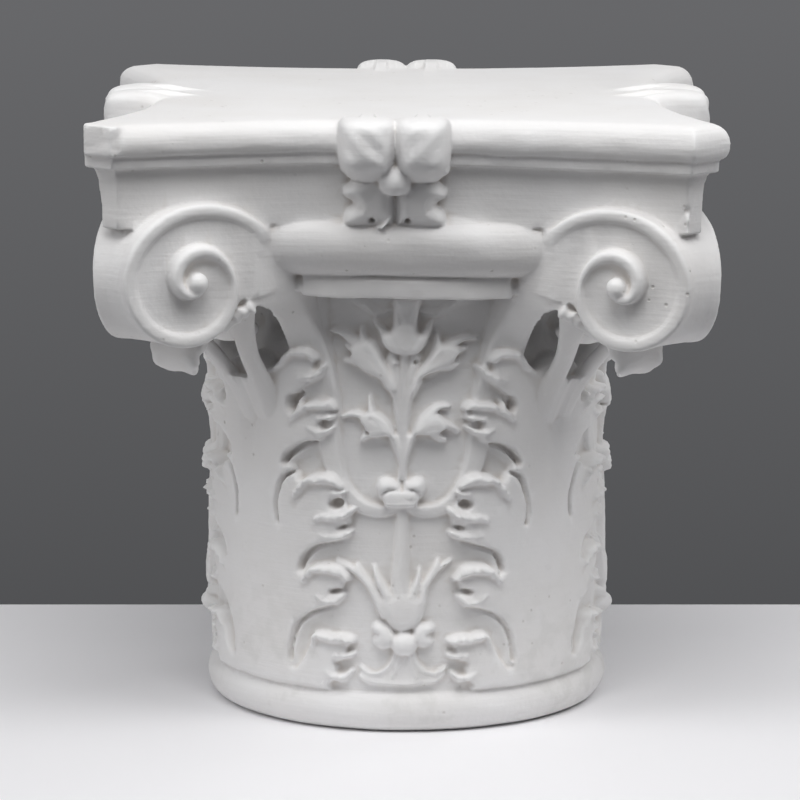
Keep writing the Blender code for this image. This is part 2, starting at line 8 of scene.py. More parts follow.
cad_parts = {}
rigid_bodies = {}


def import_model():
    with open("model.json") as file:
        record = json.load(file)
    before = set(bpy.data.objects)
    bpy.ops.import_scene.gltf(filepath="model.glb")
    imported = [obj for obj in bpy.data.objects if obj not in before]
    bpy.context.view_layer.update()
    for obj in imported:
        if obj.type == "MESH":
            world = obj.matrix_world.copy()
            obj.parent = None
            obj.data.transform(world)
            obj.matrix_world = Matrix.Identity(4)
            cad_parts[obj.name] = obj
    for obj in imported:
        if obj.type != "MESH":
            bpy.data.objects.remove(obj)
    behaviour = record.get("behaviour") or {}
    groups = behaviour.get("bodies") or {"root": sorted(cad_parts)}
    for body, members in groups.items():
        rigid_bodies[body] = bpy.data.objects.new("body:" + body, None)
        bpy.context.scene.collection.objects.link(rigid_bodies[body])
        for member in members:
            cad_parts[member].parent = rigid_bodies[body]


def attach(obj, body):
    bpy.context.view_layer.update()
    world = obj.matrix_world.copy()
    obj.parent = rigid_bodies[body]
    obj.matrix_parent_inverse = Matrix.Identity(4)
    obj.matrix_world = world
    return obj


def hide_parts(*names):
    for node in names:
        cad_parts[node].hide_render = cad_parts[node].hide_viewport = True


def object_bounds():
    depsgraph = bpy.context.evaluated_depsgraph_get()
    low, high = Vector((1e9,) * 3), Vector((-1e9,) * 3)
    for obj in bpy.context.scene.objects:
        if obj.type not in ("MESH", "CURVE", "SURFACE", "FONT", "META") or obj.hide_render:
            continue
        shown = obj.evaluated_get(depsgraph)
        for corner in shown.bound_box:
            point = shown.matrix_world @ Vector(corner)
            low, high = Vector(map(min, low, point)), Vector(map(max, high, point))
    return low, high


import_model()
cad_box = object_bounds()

# ---------------------------------------------------------------------------------------------
# The bell. It is the round body of the capital, turned on a wheel in clay or plaster before it
# was carved: a ring at its foot, and a plain wall that the leaves and plants are carved from.
# Here it is one grid, rolled up and closed, whose wall is pushed out by the carving's depth.

BELL_RADIUS = 0.158
RING_RADIUS = 0.166
FOOT_RADIUS = 0.150
RING_HEIGHT = 0.036
BELL_TOP = 0.430
CARVED_FROM = 0.0340
CARVED_TO = 0.3600
GRAIN = 0.00112
UNEVEN = 0.0008
CARVING_TURN = math.radians(-1.7)
QUARTER = BELL_RADIUS * math.pi / 4.0
OUTLINE_STEPS = 4
PATH_STEPS = 6

parts = []


def deselect():
    if bpy.context.object and bpy.context.object.mode != "OBJECT":
        bpy.ops.object.mode_set(mode="OBJECT")
    bpy.ops.object.select_all(action="DESELECT")


def spots_of(piece):
    """Where the points of a piece's mesh are, one row for each."""
    spots = np.empty(len(piece.data.vertices) * 3)
    piece.data.vertices.foreach_get("co", spots)
    return spots.reshape(-1, 3)


def put_spots(piece, spots):
    piece.data.vertices.foreach_set("co", np.ascontiguousarray(spots).ravel())
    piece.data.update()


def close_up(piece):
    """Merge the seam and poles of a shaped grid, cap its open ends and turn its faces out."""
    bpy.ops.object.mode_set(mode="EDIT")
    bpy.ops.mesh.select_all(action="SELECT")
    bpy.ops.mesh.remove_doubles(threshold=0.00002)
    bpy.ops.mesh.select_all(action="DESELECT")
    bpy.ops.mesh.select_mode(type="EDGE")
    bpy.ops.mesh.select_non_manifold()
    bpy.ops.mesh.fill_holes(sides=0)
    bpy.ops.mesh.select_all(action="SELECT")
    bpy.ops.mesh.normals_make_consistent(inside=False)
    bpy.ops.object.mode_set(mode="OBJECT")
    parts.append(piece)
    return piece


def shaped(name, around, along, place):
    """A grid rolled into a closed form: place gives where each share around and along it goes."""
    deselect()
    bpy.ops.mesh.primitive_grid_add(x_subdivisions=around, y_subdivisions=along, size=1.0)
    piece = bpy.context.object
    piece.name = name
    shares = spots_of(piece)[:, :2] + 0.5
    across = shares[:, 0]
    across[across > 0.999999] = 0.0
    put_spots(piece, place(across, shares[:, 1]))
    return close_up(piece)


def ramp(value, start, run):
    """Go from 0 to 1 while a value goes on from the start over the run."""
    return np.clip((value - start) / run, 0.0, 1.0)


def hump(value, width):
    """A soft hump, 1 where the value is 0 and nearly nothing at twice the width."""
    return np.exp(-(value / width) ** 2)


def smooth_path(values, place):
    """Read a smooth curve through evenly spaced rows of values, with place counted in steps."""
    values = np.asarray(values, float)
    last = len(values) - 1
    index = np.clip(np.floor(place).astype(int), 0, last - 1)
    part = np.clip(place - index, 0.0, 1.0)
    before = values[np.maximum(index - 1, 0)]
    low = values[index]
    high = values[index + 1]
    beyond = values[np.minimum(index + 2, last)]
    if values.ndim > 1:
        part = part[..., None]
    return 0.5 * (2 * low + (high - before) * part
                  + (2 * before - 5 * low + 4 * high - beyond) * part ** 2
                  + (3 * low - before - 3 * high + beyond) * part ** 3)


def rounded(points, steps):
    """A smooth closed line through a few corner points and whatever goes with each."""
    points = np.asarray(points, float)
    looped = np.concatenate([points[-2:], points, points[:3]])
    return smooth_path(looped, 2 + np.arange(len(points) * steps) / steps)


def to_line(across, up, line, closed):
    """How far each spot is from a line, and the place on the line that is nearest."""
    best = np.full(across.shape, 1e9)
    place = np.zeros(across.shape)
    spans = len(line) if closed else len(line) - 1
    for index in range(spans):
        start = line[index]
        step = line[(index + 1) % len(line)] - start
        share = ((across - start[0]) * step[0] + (up - start[1]) * step[1])
        share = np.clip(share / max(step[0] ** 2 + step[1] ** 2, 1e-12), 0.0, 1.0)
        far = np.hypot(across - start[0] - share * step[0], up - start[1] - share * step[1])
        nearer = far < best
        best[nearer] = far[nearer]
        place[nearer] = (index + share)[nearer]
    return best, place


def within(across, up, line):
    """Whether each spot lies inside a closed line."""
    inside = np.zeros(across.shape, bool)
    for index in range(len(line)):
        start, end = line[index], line[(index + 1) % len(line)]
        if start[1] == end[1]:
            continue
        spans = (start[1] > up) != (end[1] > up)
        edge = start[0] + (up - start[1]) * (end[0] - start[0]) / (end[1] - start[1])
        inside ^= spans & (across < edge)
    return inside


def depth_inside(across, up, line):
    """How deep each spot lies inside a closed line, less than nothing outside it."""
    far, place = to_line(across, up, line, True)
    return np.where(within(across, up, line), far, -far), place


def pillow(across, up, outline, height, edge):
    """A raised shape with a rounded border of its own outline."""
    depth, _ = depth_inside(across, up, rounded(outline, OUTLINE_STEPS))
    rise = 1.0 - ramp(depth, 0.0, edge)
    return np.where(depth > 0, height * np.sqrt(np.maximum(0.0, 1.0 - rise ** 2)), 0.0)


def along_path(across, up, path, half, height):
    """How near each spot is to a tapering line, from 1 on it to 0 at its side, and its height."""
    last = len(path) - 1
    line = smooth_path(path, np.linspace(0, last, last * PATH_STEPS + 1))
    far, place = to_line(across, up, line, False)
    share = place / (len(line) - 1)
    half = np.interp(share, np.linspace(0, 1, np.size(half)), np.atleast_1d(half))
    tall = np.interp(share, np.linspace(0, 1, np.size(height)), np.atleast_1d(height))
    return np.maximum(0.0, 1.0 - (far / half) ** 2), tall


def stroke(across, up, path, half, height):
    """A soft ridge along a line."""
    near, tall = along_path(across, up, path, half, height)
    return tall * near ** 1.2


def finger(across, up, path, half, height):
    """A round-topped ridge with steep sides, which tapers to a tip."""
    near, tall = along_path(across, up, path, half, height)
    return tall * near ** 0.42


def bead(across, up, middle, radius, height):
    far = np.hypot((across - middle[0]) / radius[0], (up - middle[1]) / radius[1])
    return height * np.sqrt(np.maximum(0.0, 1.0 - far ** 2))


def noise(across, up, size, seed):
    """Soft unevenness of a few waves, the same on every run."""
    draw = np.random.default_rng(seed)
    total = np.zeros(np.shape(across))
    for _ in range(7):
        turn = draw.uniform(0, math.tau)
        wave = draw.uniform(0.7, 1.6) * math.tau / size
        shift = draw.uniform(0, math.tau)
        total = total + np.sin(wave * (across * math.cos(turn) + up * math.sin(turn)) + shift)
    return total / 7.0


# The leaf's edge on one side of its middle, from the foot up: the angle in degrees, the height
# in millimetres, and over how many millimetres the edge falls.
LEAF_EDGE = (
    (22, 32, 3), (24, 38, 2.5), (25.8, 44, 2), (26.6, 52, 2), (28.2, 60, 2), (29.2, 66, 2),
    (30, 73, 2), (27.8, 78, 2), (23, 78.6, 2), (20.2, 79, 2.2), (18.6, 72.5, 4), (16.9, 64, 5),
    (15.2, 55.5, 4), (13.2, 48.8, 2.5), (11.6, 51, 1.2), (11.2, 58, 1.2), (11.6, 68, 1.2),
    (14.2, 86, 1.2), (17.4, 94.6, 1.2), (21, 99.8, 1.2), (25, 103.6, 1.4), (27.6, 108, 1.8),
    (28.2, 113, 2), (28, 118.5, 2), (29, 124, 2), (28.8, 130, 2), (25.6, 134.8, 2.2),
    (21.6, 134.6, 2.2), (18.6, 130, 2.6), (16.8, 126.2, 2.4), (15, 128.2, 1.4), (15.1, 134, 1.2),
    (16.1, 141, 1.2), (18, 147.2, 1.2), (21.4, 152, 1.2), (27, 156.8, 1.4), (30, 161, 1.8),
    (30, 168, 2), (30.6, 175, 2), (30.6, 182, 2), (29.4, 190, 2), (29, 198, 2), (28.2, 205, 2.2),
    (25.2, 209.4, 2.4), (21.2, 208.6, 2.4), (17.8, 204.6, 2.4), (15.6, 204.6, 2.6),
    (14.4, 210, 2.4), (12.8, 214.6, 2), (10.6, 216.2, 1.6), (10.9, 222.4, 1.3), (13.5, 229.8, 1.3),
    (17, 234.8, 1.3), (21.4, 237.2, 1.3), (23.4, 241, 1.8), (24.8, 248, 2), (25, 256, 2),
    (26.2, 262.5, 2), (25.6, 268.5, 2.2), (22.6, 269.2, 2.2), (20, 268.4, 2.2), (17.8, 265.4, 2.2),
    (16.2, 268.6, 1.6), (16.8, 273.2, 1.6), (18, 278.6, 1.6), (20.8, 285.4, 1.6), (22.8, 290, 2),
    (23.6, 296.5, 2), (22.2, 302, 2), (21.6, 308, 2), (19.6, 312.6, 2.4), (16.4, 312.8, 2.4),
    (13.6, 310.4, 2.4), (12, 304, 2.2), (9.4, 298.4, 2), (7.4, 294.4, 1.8), (5.6, 297, 1.6),
    (2.8, 303, 1.6), (0, 304, 1.6), (-8, 300, 1.6), (-8, 32, 3),
)
# Rims and toes, each a line of angles and heights, half its width, and its lift over the leaf.
LEAF_RIDGES = (
    (((19.6, 68), (20.2, 76.5), (22.6, 77.4), (25.4, 76.2), (28.4, 76.6), (31, 75.6)),
     (2, 2.8, 3.6, 3.2, 3.4, 2.4), (1, 4, 5, 4.4, 5, 4)),
    (((26.4, 63), (29, 62.6), (31.4, 64.4)), (2.2, 2.4, 1.5), (1.5, 2.2, 1.5)),
    (((23.4, 49), (25.6, 45.4), (28.2, 44.6), (30.8, 49.6)), (1.8, 2.7, 2.7, 1.5), (1, 3, 3.4, 1)),
    (((16.6, 122), (18.6, 128.4), (21, 132.4), (24, 133.4), (27.4, 131.6), (29.8, 126.6)),
     (2.2, 3.2, 3.8, 3.8, 3.6, 2.2), (2, 4.2, 5, 4.6, 5.2, 3.4)),
    (((21, 112), (22.6, 107.6), (26, 106.4), (28.6, 111.6)), (1.6, 2.6, 2.8, 1.6),
     (1, 2.6, 3.2, 1.2)),
    (((14.4, 190), (16.2, 197.4), (18.6, 203.6), (22, 206.4), (25.6, 206.6), (28.6, 201.4)),
     (2, 4, 3.6, 4.2, 4, 2.2), (2, 5, 4.2, 5.4, 5.2, 3.4)),
    (((25.6, 196.6), (27.6, 195.4), (29.6, 197.6)), (1.4, 1.7, 1.2), (2, 3.4, 2.4)),
    (((20.6, 172.6), (23, 176), (27, 176.6), (29.8, 179.6), (31.8, 183.8)),
     (2.2, 3.2, 3.4, 2.9, 1.5), (1, 3.4, 4.4, 4, 2)),
    (((22.4, 160.8), (25.6, 159.6), (28.8, 161.2), (31, 165)), (1.6, 2.4, 2.4, 1.4),
     (1, 3, 3.2, 1)),
    (((13.6, 254), (16.4, 260.2), (19.6, 265.8), (22.4, 266), (25.2, 267.4), (26.8, 265)),
     (2, 2.8, 3.2, 3, 2.8, 1.6), (2, 4, 5, 4.2, 5, 3)),
    (((21.6, 256.2), (24, 256.4), (26.4, 258.8)), (1.8, 2.4, 1.5), (1, 3, 1.8)),
    (((19.4, 248.4), (22, 245), (24.2, 245.6), (26.2, 249.4)), (1.6, 2.6, 2.6, 1.4),
     (1, 3, 3.2, 1.2)),
    (((8.4, 292), (11.4, 298.6), (13.6, 306.6), (16.4, 309.4), (19.4, 308.8), (21.4, 303.6)),
     (2.4, 3.4, 3.8, 4, 3.8, 2.4), (1, 3, 4.4, 5, 5.2, 3.4)),
    (((16.4, 287.6), (19.6, 289.6), (22.2, 292.8), (23.8, 299.2)), (2.2, 3.2, 3, 1.4),
     (1, 3.4, 4.2, 2.4)),
)
# Drilled eyes: the middle's angle and height, half the width and height, the tilt in degrees.
LEAF_EYES = (
    (29.9, 68.9, 3.4, 2.4, 0), (27.2, 55.4, 5.2, 3.4, 14), (26.4, 115.2, 6.9, 3.5, 10),
    (28.6, 122, 2.6, 1.3, 20), (26.9, 187, 7, 4.8, 16), (29.3, 191.6, 2.6, 1.3, 10),
    (28.6, 168.2, 6.2, 3, 16), (25.4, 262, 2.4, 1.9, 0), (23.6, 251.6, 5.2, 4.2, 10),
    (21.2, 299.8, 3, 4.6, -20), (14, 266.8, 5, 8.4, -14),
)
# Grooves along the lobes' inner sides: a line, and half the groove's width.
LEAF_GROOVES = (
    (((11.9, 55), (12, 66), (14.8, 85.6), (18.2, 94.6), (21.8, 98.6), (25.8, 101.8)),
     (1.5, 1.8, 1.9, 1.9, 1.6, 1.2)),
    (((15.7, 131), (15.9, 135), (16.9, 141), (18.8, 147), (22.2, 151.2), (27.6, 155.2)),
     (2, 2.6, 2.6, 2.2, 1.9, 1.4)),
    (((11, 217.8), (11.8, 222.6), (14.4, 229), (17.6, 233.4), (21.6, 235.2)),
     (2.4, 3, 3, 2.6, 1.8)),
    (((8.6, 167.6), (7.9, 180), (9.1, 195.6), (10.8, 205.6), (14.2, 211.4)),
     (1.6, 2, 2.2, 2.2, 1.5)),
    (((14.6, 270), (16.6, 275.6), (20, 283)), (3.2, 2.4, 1.6)),
)
# Drops where two lobes part: the middle's angle and height, half the width and height.
LEAF_DROPS = (
    (13, 46.4, 2.6, 3.6), (15.8, 125.2, 2.8, 3.6), (8.8, 161.8, 2.8, 3.8), (12.4, 213.6, 2.6, 2.4),
)
LEAF_MM = math.radians(1.0) * 170.0
LEAF_FOOT = 32.0
TIP_LEANS_FROM = 255.0
FLOOR_BESIDE_GROOVES = (0.80, 0.70, 0.45, 0.15)


def in_millimetres(path):
    """A line whose places are given by the angle from the leaf's middle."""
    return [(angle * LEAF_MM, up) for angle, up in path]


def leaf_height(angle, up):
    """The leaf over the bell's wall, in millimetres: angle in degrees from its middle."""
    line = rounded(np.asarray(LEAF_EDGE) * (LEAF_MM, 1.0, 1.0), 5)
    across = np.abs(angle) * LEAF_MM
    depth, place = depth_inside(across, up, line)
    soft = line[np.floor(place).astype(int) % len(line), 2]
    lean = np.maximum(0.0, up - TIP_LEANS_FROM)
    body = 7.0 + 0.027 * up + 0.0042 * lean ** 2 * hump(angle, 17.0)
    body -= 2.6 * ramp(np.abs(angle), 20.0, 9.0) ** 2
    body -= 2.0 * hump(angle, 2.6) * ramp(up, 150.0, 100.0)
    body += hump(np.abs(angle) - 5.0, 2.4) * ramp(up, 170.0, 80.0)
    wall = np.sqrt(np.maximum(0.0, 1.0 - (1.0 - ramp(depth, 0.0, soft)) ** 2))
    high = np.where(depth > 0, wall * (body - 0.6), 0.0)

    knobbly = 0.5 + 1.1 * noise(across, up, 8.5, 29)
    lifted = np.zeros(angle.shape)
    hollow = np.zeros(angle.shape)
    for path, half, lift in LEAF_RIDGES:
        path = in_millimetres(path)
        near, tall = along_path(across, up, path, 1.2 * np.array(half), lift)
        tall = 0.70 * tall * (0.55 + 0.9 * knobbly) + 0.8 * knobbly
        lifted = np.maximum(lifted, np.where(near > 0, (body + tall) * near ** 0.42, 0.0))
        near, _ = along_path(across, up, [(spot[0], spot[1] - 6.5) for spot in path], 6.0, 1.0)
        hollow = np.maximum(hollow, near * np.max(lift) * 0.22)
    high = np.maximum(high - hollow * (depth > 2), lifted)
    for path, _ in LEAF_GROOVES:
        near, tall = along_path(across, up, in_millimetres(path), 14.0, FLOOR_BESIDE_GROOVES)
        bank = body * tall * np.exp(-4.0 * (1.0 - near)) * (near > 0)
        high = np.where(depth > 0, high, np.maximum(high, bank))
    for middle, level, wide, tall, tilt in LEAF_EYES:
        turn = math.radians(tilt)
        away = across - middle * LEAF_MM
        rise = up - level
        far = np.hypot((away * math.cos(turn) + rise * math.sin(turn)) / wide,
                       (rise * math.cos(turn) - away * math.sin(turn)) / tall)
        cut = np.clip((1.0 - far) * min(wide, tall) / 1.3, 0.0, 1.0)
        high = np.minimum(high, high * (1 - cut) + 0.5 * cut)
    for path, half in LEAF_GROOVES:
        near, _ = along_path(across, up, in_millimetres(path), half, 1.0)
        cut = np.clip(near * 1.4, 0.0, 1.0)
        high = np.minimum(high, high * (1 - cut) + (-0.6) * cut)
    for middle, level, wide, tall in LEAF_DROPS:
        drop = bead(across, up, (middle * LEAF_MM, level), (wide, tall), 1.0)
        high = np.maximum(high, (body + 0.8) * drop ** 0.7)
    return high * ramp(up, LEAF_FOOT, 5.0)


# The plant on each panel, in millimetres across from the panel's middle and up from the base:
# the bodies of its leaves, the curled tips that leave them, and the veins cut into them.
PLANT_BODIES = (
    (((-24, 320), (-33, 320.5), (-41, 316), (-42, 309), (-40, 303.5), (-30, 295.5), (-18, 289.5),
      (-9.5, 279), (-3, 283), (-13, 302)), 10.5, 5),
    (((24.5, 318), (33, 319), (43, 315.5), (42, 309), (37, 302), (27, 296.5), (16, 290.5),
      (8, 274), (6.5, 282), (12, 298), (19, 309)), 10.5, 5),
    (((-3, 236), (-9, 242.5), (-21, 241.8), (-28, 243.5), (-28, 249), (-32, 255), (-29, 261.5),
      (-21, 264), (-14, 260), (-7, 251)), 10, 4.6),
    (((6, 234), (12, 243.5), (21, 243.2), (29, 244.8), (36, 249.5), (34, 256), (27, 262),
      (18, 260.5), (10.5, 252)), 10, 4.6),
    (((-18.5, 321), (-12.5, 313), (0, 309), (11.5, 311.5), (16.5, 319), (18.5, 327), (10, 329),
      (9, 342), (9.5, 356), (-9, 356), (-10.5, 342), (-11, 330), (-17.5, 328)), 12.5, 6.5),
)
PLANT_TIPS = (
    (((-32, 315), (-42, 321), (-50, 325.5), (-59, 326.4)), (5, 4, 2.6, 1), (10.5, 9.5, 8, 5.5)),
    (((-27, 312), (-32, 321), (-34.8, 329)), (5, 3.6, 1.2), (10.5, 10, 6.5)),
    (((-36, 311), (-42, 313.5), (-46.5, 316.6)), (4, 2.6, 1.1), (11, 9.5, 7)),
    (((-32, 303), (-39, 303.6), (-47, 303)), (4.6, 3.6, 1.3), (11, 10.5, 7)),
    (((30, 314), (38, 319), (47, 322.4), (58.5, 321.8)), (5, 3.8, 2.4, 1), (10.5, 9.5, 8, 5.5)),
    (((24, 309), (25.4, 317), (25.4, 325.4)), (5, 3.4, 1.2), (10.5, 10, 6.5)),
    (((34, 310), (41, 312.2), (48.6, 314.4)), (4, 2.8, 1.1), (11, 9.5, 7)),
    (((30, 301), (37, 300.6), (42.8, 303)), (4.6, 3.4, 1.4), (11, 10.5, 7.5)),
    (((-20, 256), (-22.5, 264), (-24.8, 274.4)), (5, 3.4, 1), (11, 9.5, 6)),
    (((-24, 256), (-32, 259.4), (-39, 259.8), (-46, 257.6)), (5, 3.2, 2.2, 1), (11, 9, 7, 5.5)),
    (((-22, 248), (-27, 243.6), (-31.2, 239.8)), (4.6, 3.2, 1.4), (11.5, 10.5, 7.5)),
    (((18, 256), (24, 263), (30, 266.6), (38.5, 266.4)), (5, 3.6, 2.6, 1), (11, 10, 8, 5.5)),
    (((28, 255), (36, 251.6), (41, 249), (45.6, 245.4)), (5, 3.2, 2.2, 1), (11, 9.5, 7.5, 5.5)),
    (((24, 249), (28.6, 242.6), (35, 239.4)), (4.8, 3, 1.4), (11.5, 10.5, 8)),
    (((-12, 320), (-17.5, 328), (-24.8, 336.2)), (5.5, 3.4, 1), (12.5, 10.5, 7)),
    (((12, 320), (16.6, 328), (19.6, 336.4)), (5.5, 3.4, 1), (12.5, 10.5, 7)),
)
PLANT_VEINS = (
    (((-8, 284), (-18, 300), (-29, 313)), 1.5, 2.2), (((-12, 287), (-26, 299), (-37, 305)), 1.3, 2),
    (((9, 284), (17, 299), (28, 311)), 1.5, 2.2), (((12, 288), (24, 299), (34, 303.5)), 1.3, 2),
    (((-6, 245), (-15, 254), (-23, 259)), 1.5, 2.2),
    (((-8, 243), (-18, 248), (-26, 249)), 1.3, 2.2), (((8, 245), (16, 254), (25, 259)), 1.5, 2.2),
    (((10, 244), (20, 248), (28, 250)), 1.3, 2.2), (((-2, 311), (-6, 320), (-12, 327)), 1.5, 2),
    (((3, 311), (7, 320), (12, 327)), 1.5, 2), (((-9, 352), (-5, 344), (-4.5, 335)), 1.5, 3.2),
    (((9, 352), (5.5, 344), (4.5, 335)), 1.5, 3.2), (((-4.5, 350), (0, 342), (4.5, 350)), 1.2, 2.6),
    (((-8, 333), (0, 337), (8, 334)), 1.3, 1.8),
)
PLANT_EYES = (
    (-42.6, 309.4, 3.6, 2.3), (42, 306.8, 3.4, 2), (-25.5, 246, 2.6, 1.8), (33.2, 246.4, 3.2, 2),
    (-33.5, 250.8, 2.4, 1.8), (9, 303.6, 1.8, 3),
)
# The band's inner edge from the bottom of its U to the lip, then its outer edge down again.
BAND_EDGE = (
    (0, 188), (10, 188.2), (19, 187.6), (27, 189.2), (34.5, 194), (41, 202), (45.5, 213),
    (48.6, 228), (50.4, 246), (52.6, 268), (56, 294), (60.5, 318), (65.5, 340), (69, 362),
    (92, 362), (88, 330), (82, 300), (74, 268), (70, 240), (66, 217), (58, 208), (51, 197),
    (44, 186.4), (34, 179), (21, 176.4), (9, 178.4), (0, 183),
)
# The horned cup over the foot, the buds on either side of the ball, the knot and its bar, and
# the foot: outlines, and for each horn a line, half its width, and its height.
CUP = (
    (-17, 109), (-14.6, 99), (-10.4, 91), (-4.6, 85.8), (1.2, 83.8), (8.4, 85.6), (14.6, 90.6),
    (17.4, 99.6), (18, 110), (12, 115), (7, 116), (0, 122), (-6, 116), (-12, 114),
)
HORNS = (
    (((-13, 98), (-18, 109), (-23.6, 120.5), (-32, 129.4), (-42, 135.6), (-52, 140.4)),
     (4, 4, 3.4, 3, 2.2, 0.9), (7.5, 8.5, 8, 7, 5.5, 4)),
    (((-9.5, 110), (-13.4, 119), (-18, 127.4), (-21.6, 136.6)), (4, 3.6, 2.6, 0.9),
     (8.5, 8.5, 7.5, 5)),
    (((-29, 127.4), (-32, 132), (-35.4, 138)), (2.6, 2, 0.8), (7, 6.5, 4.5)),
    (((14, 98), (16.6, 110), (18.4, 120), (24, 129.6), (31, 136.6), (40, 141.4)),
     (4, 4, 3.4, 3, 2.2, 0.9), (7.5, 8.5, 8, 7, 5.5, 4)),
    (((8.4, 110), (10.6, 119), (13, 127), (14.2, 135)), (4, 3.4, 2.4, 0.9), (8.5, 8.5, 7.5, 5)),
    (((24, 130.6), (27.2, 136), (29.6, 143)), (2.6, 2.2, 0.8), (7, 6.5, 4.5)),
)
BUD_LEFT = (
    (-20.4, 91), (-14.4, 90.8), (-6, 84), (-4, 77), (-9.3, 70.2), (-16.6, 70), (-22.6, 76),
    (-20.6, 81), (-22.8, 85.4),
)
BUD_RIGHT = (
    (11, 87), (16, 90.6), (24, 90), (27, 84.6), (22.6, 81.4), (26.4, 75), (19, 70.8), (13, 73),
    (9, 80),
)
KNOT = (
    (-18.6, 203), (-16, 208), (-9.6, 209), (-3.4, 206.4), (0.8, 203), (5.2, 206.8), (12, 209.6),
    (17.6, 207.6), (19.2, 201), (17, 193.5), (11, 188), (-11, 188), (-17, 193.5),
)
BAR = (
    (-12, 187), (-12.6, 193), (-11.4, 197.4), (0, 198.2), (11.6, 197.4), (12.6, 193), (12, 187),
    (0, 185.6),
)
FOOT = (
    (-4.6, 65), (-9.4, 54.6), (-15.4, 49.6), (-23.8, 48.6), (-31, 52), (-29, 44), (-20, 40.5),
    (2, 39.5), (24, 40.5), (32, 45), (35, 52), (27.2, 49.4), (20, 50.8), (14, 56), (9.8, 65),
)


def plant_height(across, up):
    """Everything carved on one panel between the leaves, over the bell's wall."""
    depth, _ = depth_inside(np.abs(across - 2.0), up, rounded(BAND_EDGE, OUTLINE_STEPS))
    flat = 4.8 + 0.8 * ramp(up, 200, 60) + 2.0 * ramp(up, 300, 60)
    slope = ramp(depth, 0, 2.6 + 2.2 * ramp(up, 200, 60))
    high = np.where(depth > 0, slope * (2.0 - slope) * flat, 0.0)
    crest = hump(depth - 3.4, 1.8) * np.clip((225 - up) / 25, 0, 1)
    high += np.where(depth > 0, 0.9 * crest * (up > 184), 0.0)

    def add(layer):
        np.maximum(high, layer, out=high)

    def ridge(path, half, height):
        add(finger(across, up, path, half, height))

    def boss(outline, height, edge):
        add(pillow(across, up, outline, height, edge))

    def ball(middle, radius, height):
        add(bead(across, up, middle, radius, height))

    def cut(layer, above):
        high[:] = np.where(high > above, np.maximum(high - layer, 0.3), high)

    def groove(path, half, deep, above):
        cut(stroke(across, up, path, half, deep), above)

    ridge(((0.5, 150), (0.5, 178), (1.3, 220), (2.2, 250), (1.6, 275)),
          (4.6, 3.9, 3.2, 4.0, 5.0), (5.5, 5.5, 5.2, 6.0, 7.0))
    for path in (((-0.4, 246), (-3.6, 268), (-5.4, 288), (-8.6, 307)),
                 ((1.4, 250), (1.2, 280), (0, 311)),
                 ((3.2, 246), (5.6, 268), (6.2, 288), (8.6, 307))):
        ridge(path, (2.0, 3.0, 3.4, 4.4), (5.5, 7.5, 8.5, 9.0))
    for side in (-1, 1):
        start = 1.3 + side * 0.4
        ridge(((start, 214), (start + side * 2.2, 228), (start + side * 6, 241)),
              (1.6, 2.4, 3.6), (5.0, 6.5, 9.0))
        ridge(((start, 246), (start + side * 3.6, 268), (start + side * 10, 287)),
              (1.6, 2.4, 3.8), (5.5, 7.0, 9.5))
    for outline, height, edge in PLANT_BODIES:
        boss(outline, 1.25 * height, 0.85 * edge)
    for path, half, height in PLANT_TIPS:
        ridge(path, half, height)
    for path, half, deep in PLANT_VEINS:
        groove(path, 1.2 * half, 0.55 * deep, 4.0)
    for middle, level, wide, tall in PLANT_EYES:
        eye = bead(across, up, (middle, level), (wide, tall), 1.0)
        cut(14.0 * np.clip(1.4 * eye - 0.2, 0, 1), 0.5)
    ball((-6.4, 303.6), (2.6, 2.6), 11.5)

    boss(KNOT, 11.5, 6.0)
    groove(((0.8, 207), (0.8, 199)), 1.6, 5.0, 2.0)
    groove(((-14.6, 187), (-14.4, 195), (-9, 200), (0, 200.6), (9.4, 200), (14.8, 195),
            (14.6, 187)), 1.5, 6.5, 3.0)
    bar = pillow(across, up, BAR, 12.5, 2.6)
    bar -= np.where(bar > 5, stroke(across, up, ((-10.6, 192), (11, 192)), 1.3, 3.4), 0)
    bar -= np.where(bar > 5, stroke(across, up, ((-7, 196.4), (0, 195.6), (7, 196.4)), 1.0, 1.4), 0)
    add(bar)
    ridge(((0.8, 182), (0.6, 152), (-0.6, 124), (0, 108)), (4.4, 5.6, 7.4, 9.0),
          (6.4, 7.4, 7.8, 8.0))
    for path, half, height in HORNS:
        ridge(path, half, height)
    boss(CUP, 9.5, 9.0)
    ball((-9.6, 113.5), (2.4, 3.0), 9.5)
    ball((7.6, 113.5), (2.2, 2.8), 9.5)
    boss(BUD_LEFT, 10.0, 6.5)
    boss(BUD_RIGHT, 10.0, 6.5)
    groove(((-23, 81.6), (-17, 81.8)), 1.3, 4.0, 2.0)
    groove(((27, 81.4), (20, 81.6)), 1.3, 4.0, 2.0)
    ball((2.6, 73.8), (10.7, 9.8), 14.0)
    boss(FOOT, 3.6, 1.6)
    for path in (((-4, 66), (-7, 58), (-10.8, 53), (-16, 49.6), (-24, 49), (-32, 54)),
                 ((9.4, 66), (12, 58), (15.6, 53.6), (21, 50.2), (28, 49.4), (36, 54)),
                 ((-31.6, 46.8), (-26, 42.8), (-12, 41.4), (2, 41), (16, 41.4), (27, 42.6),
                  (33.6, 47.4)),
                 ((-1, 66), (-2.6, 56), (-7, 46)), ((6.2, 66), (8, 56), (12, 46))):
        ridge(path, (1.9, 1.9, 1.9, 1.7, 1.5, 1.0)[:len(path)], 5.4)
    for side in (-1, 1):
        path = ((side * 60, 357), (side * 46, 355), (side * 33, 348), (side * 22, 342),
                (side * 12, 344))
        wobble = 0.9 + 0.5 * np.sin(across * 1.1) * np.sin(up * 0.9 + 1.0)
        add(stroke(across, up, path, (3.0, 3.6, 4.0, 3.6, 2.6), (1.2, 2.2, 2.8, 2.8, 2.4)) * wobble)
    return high


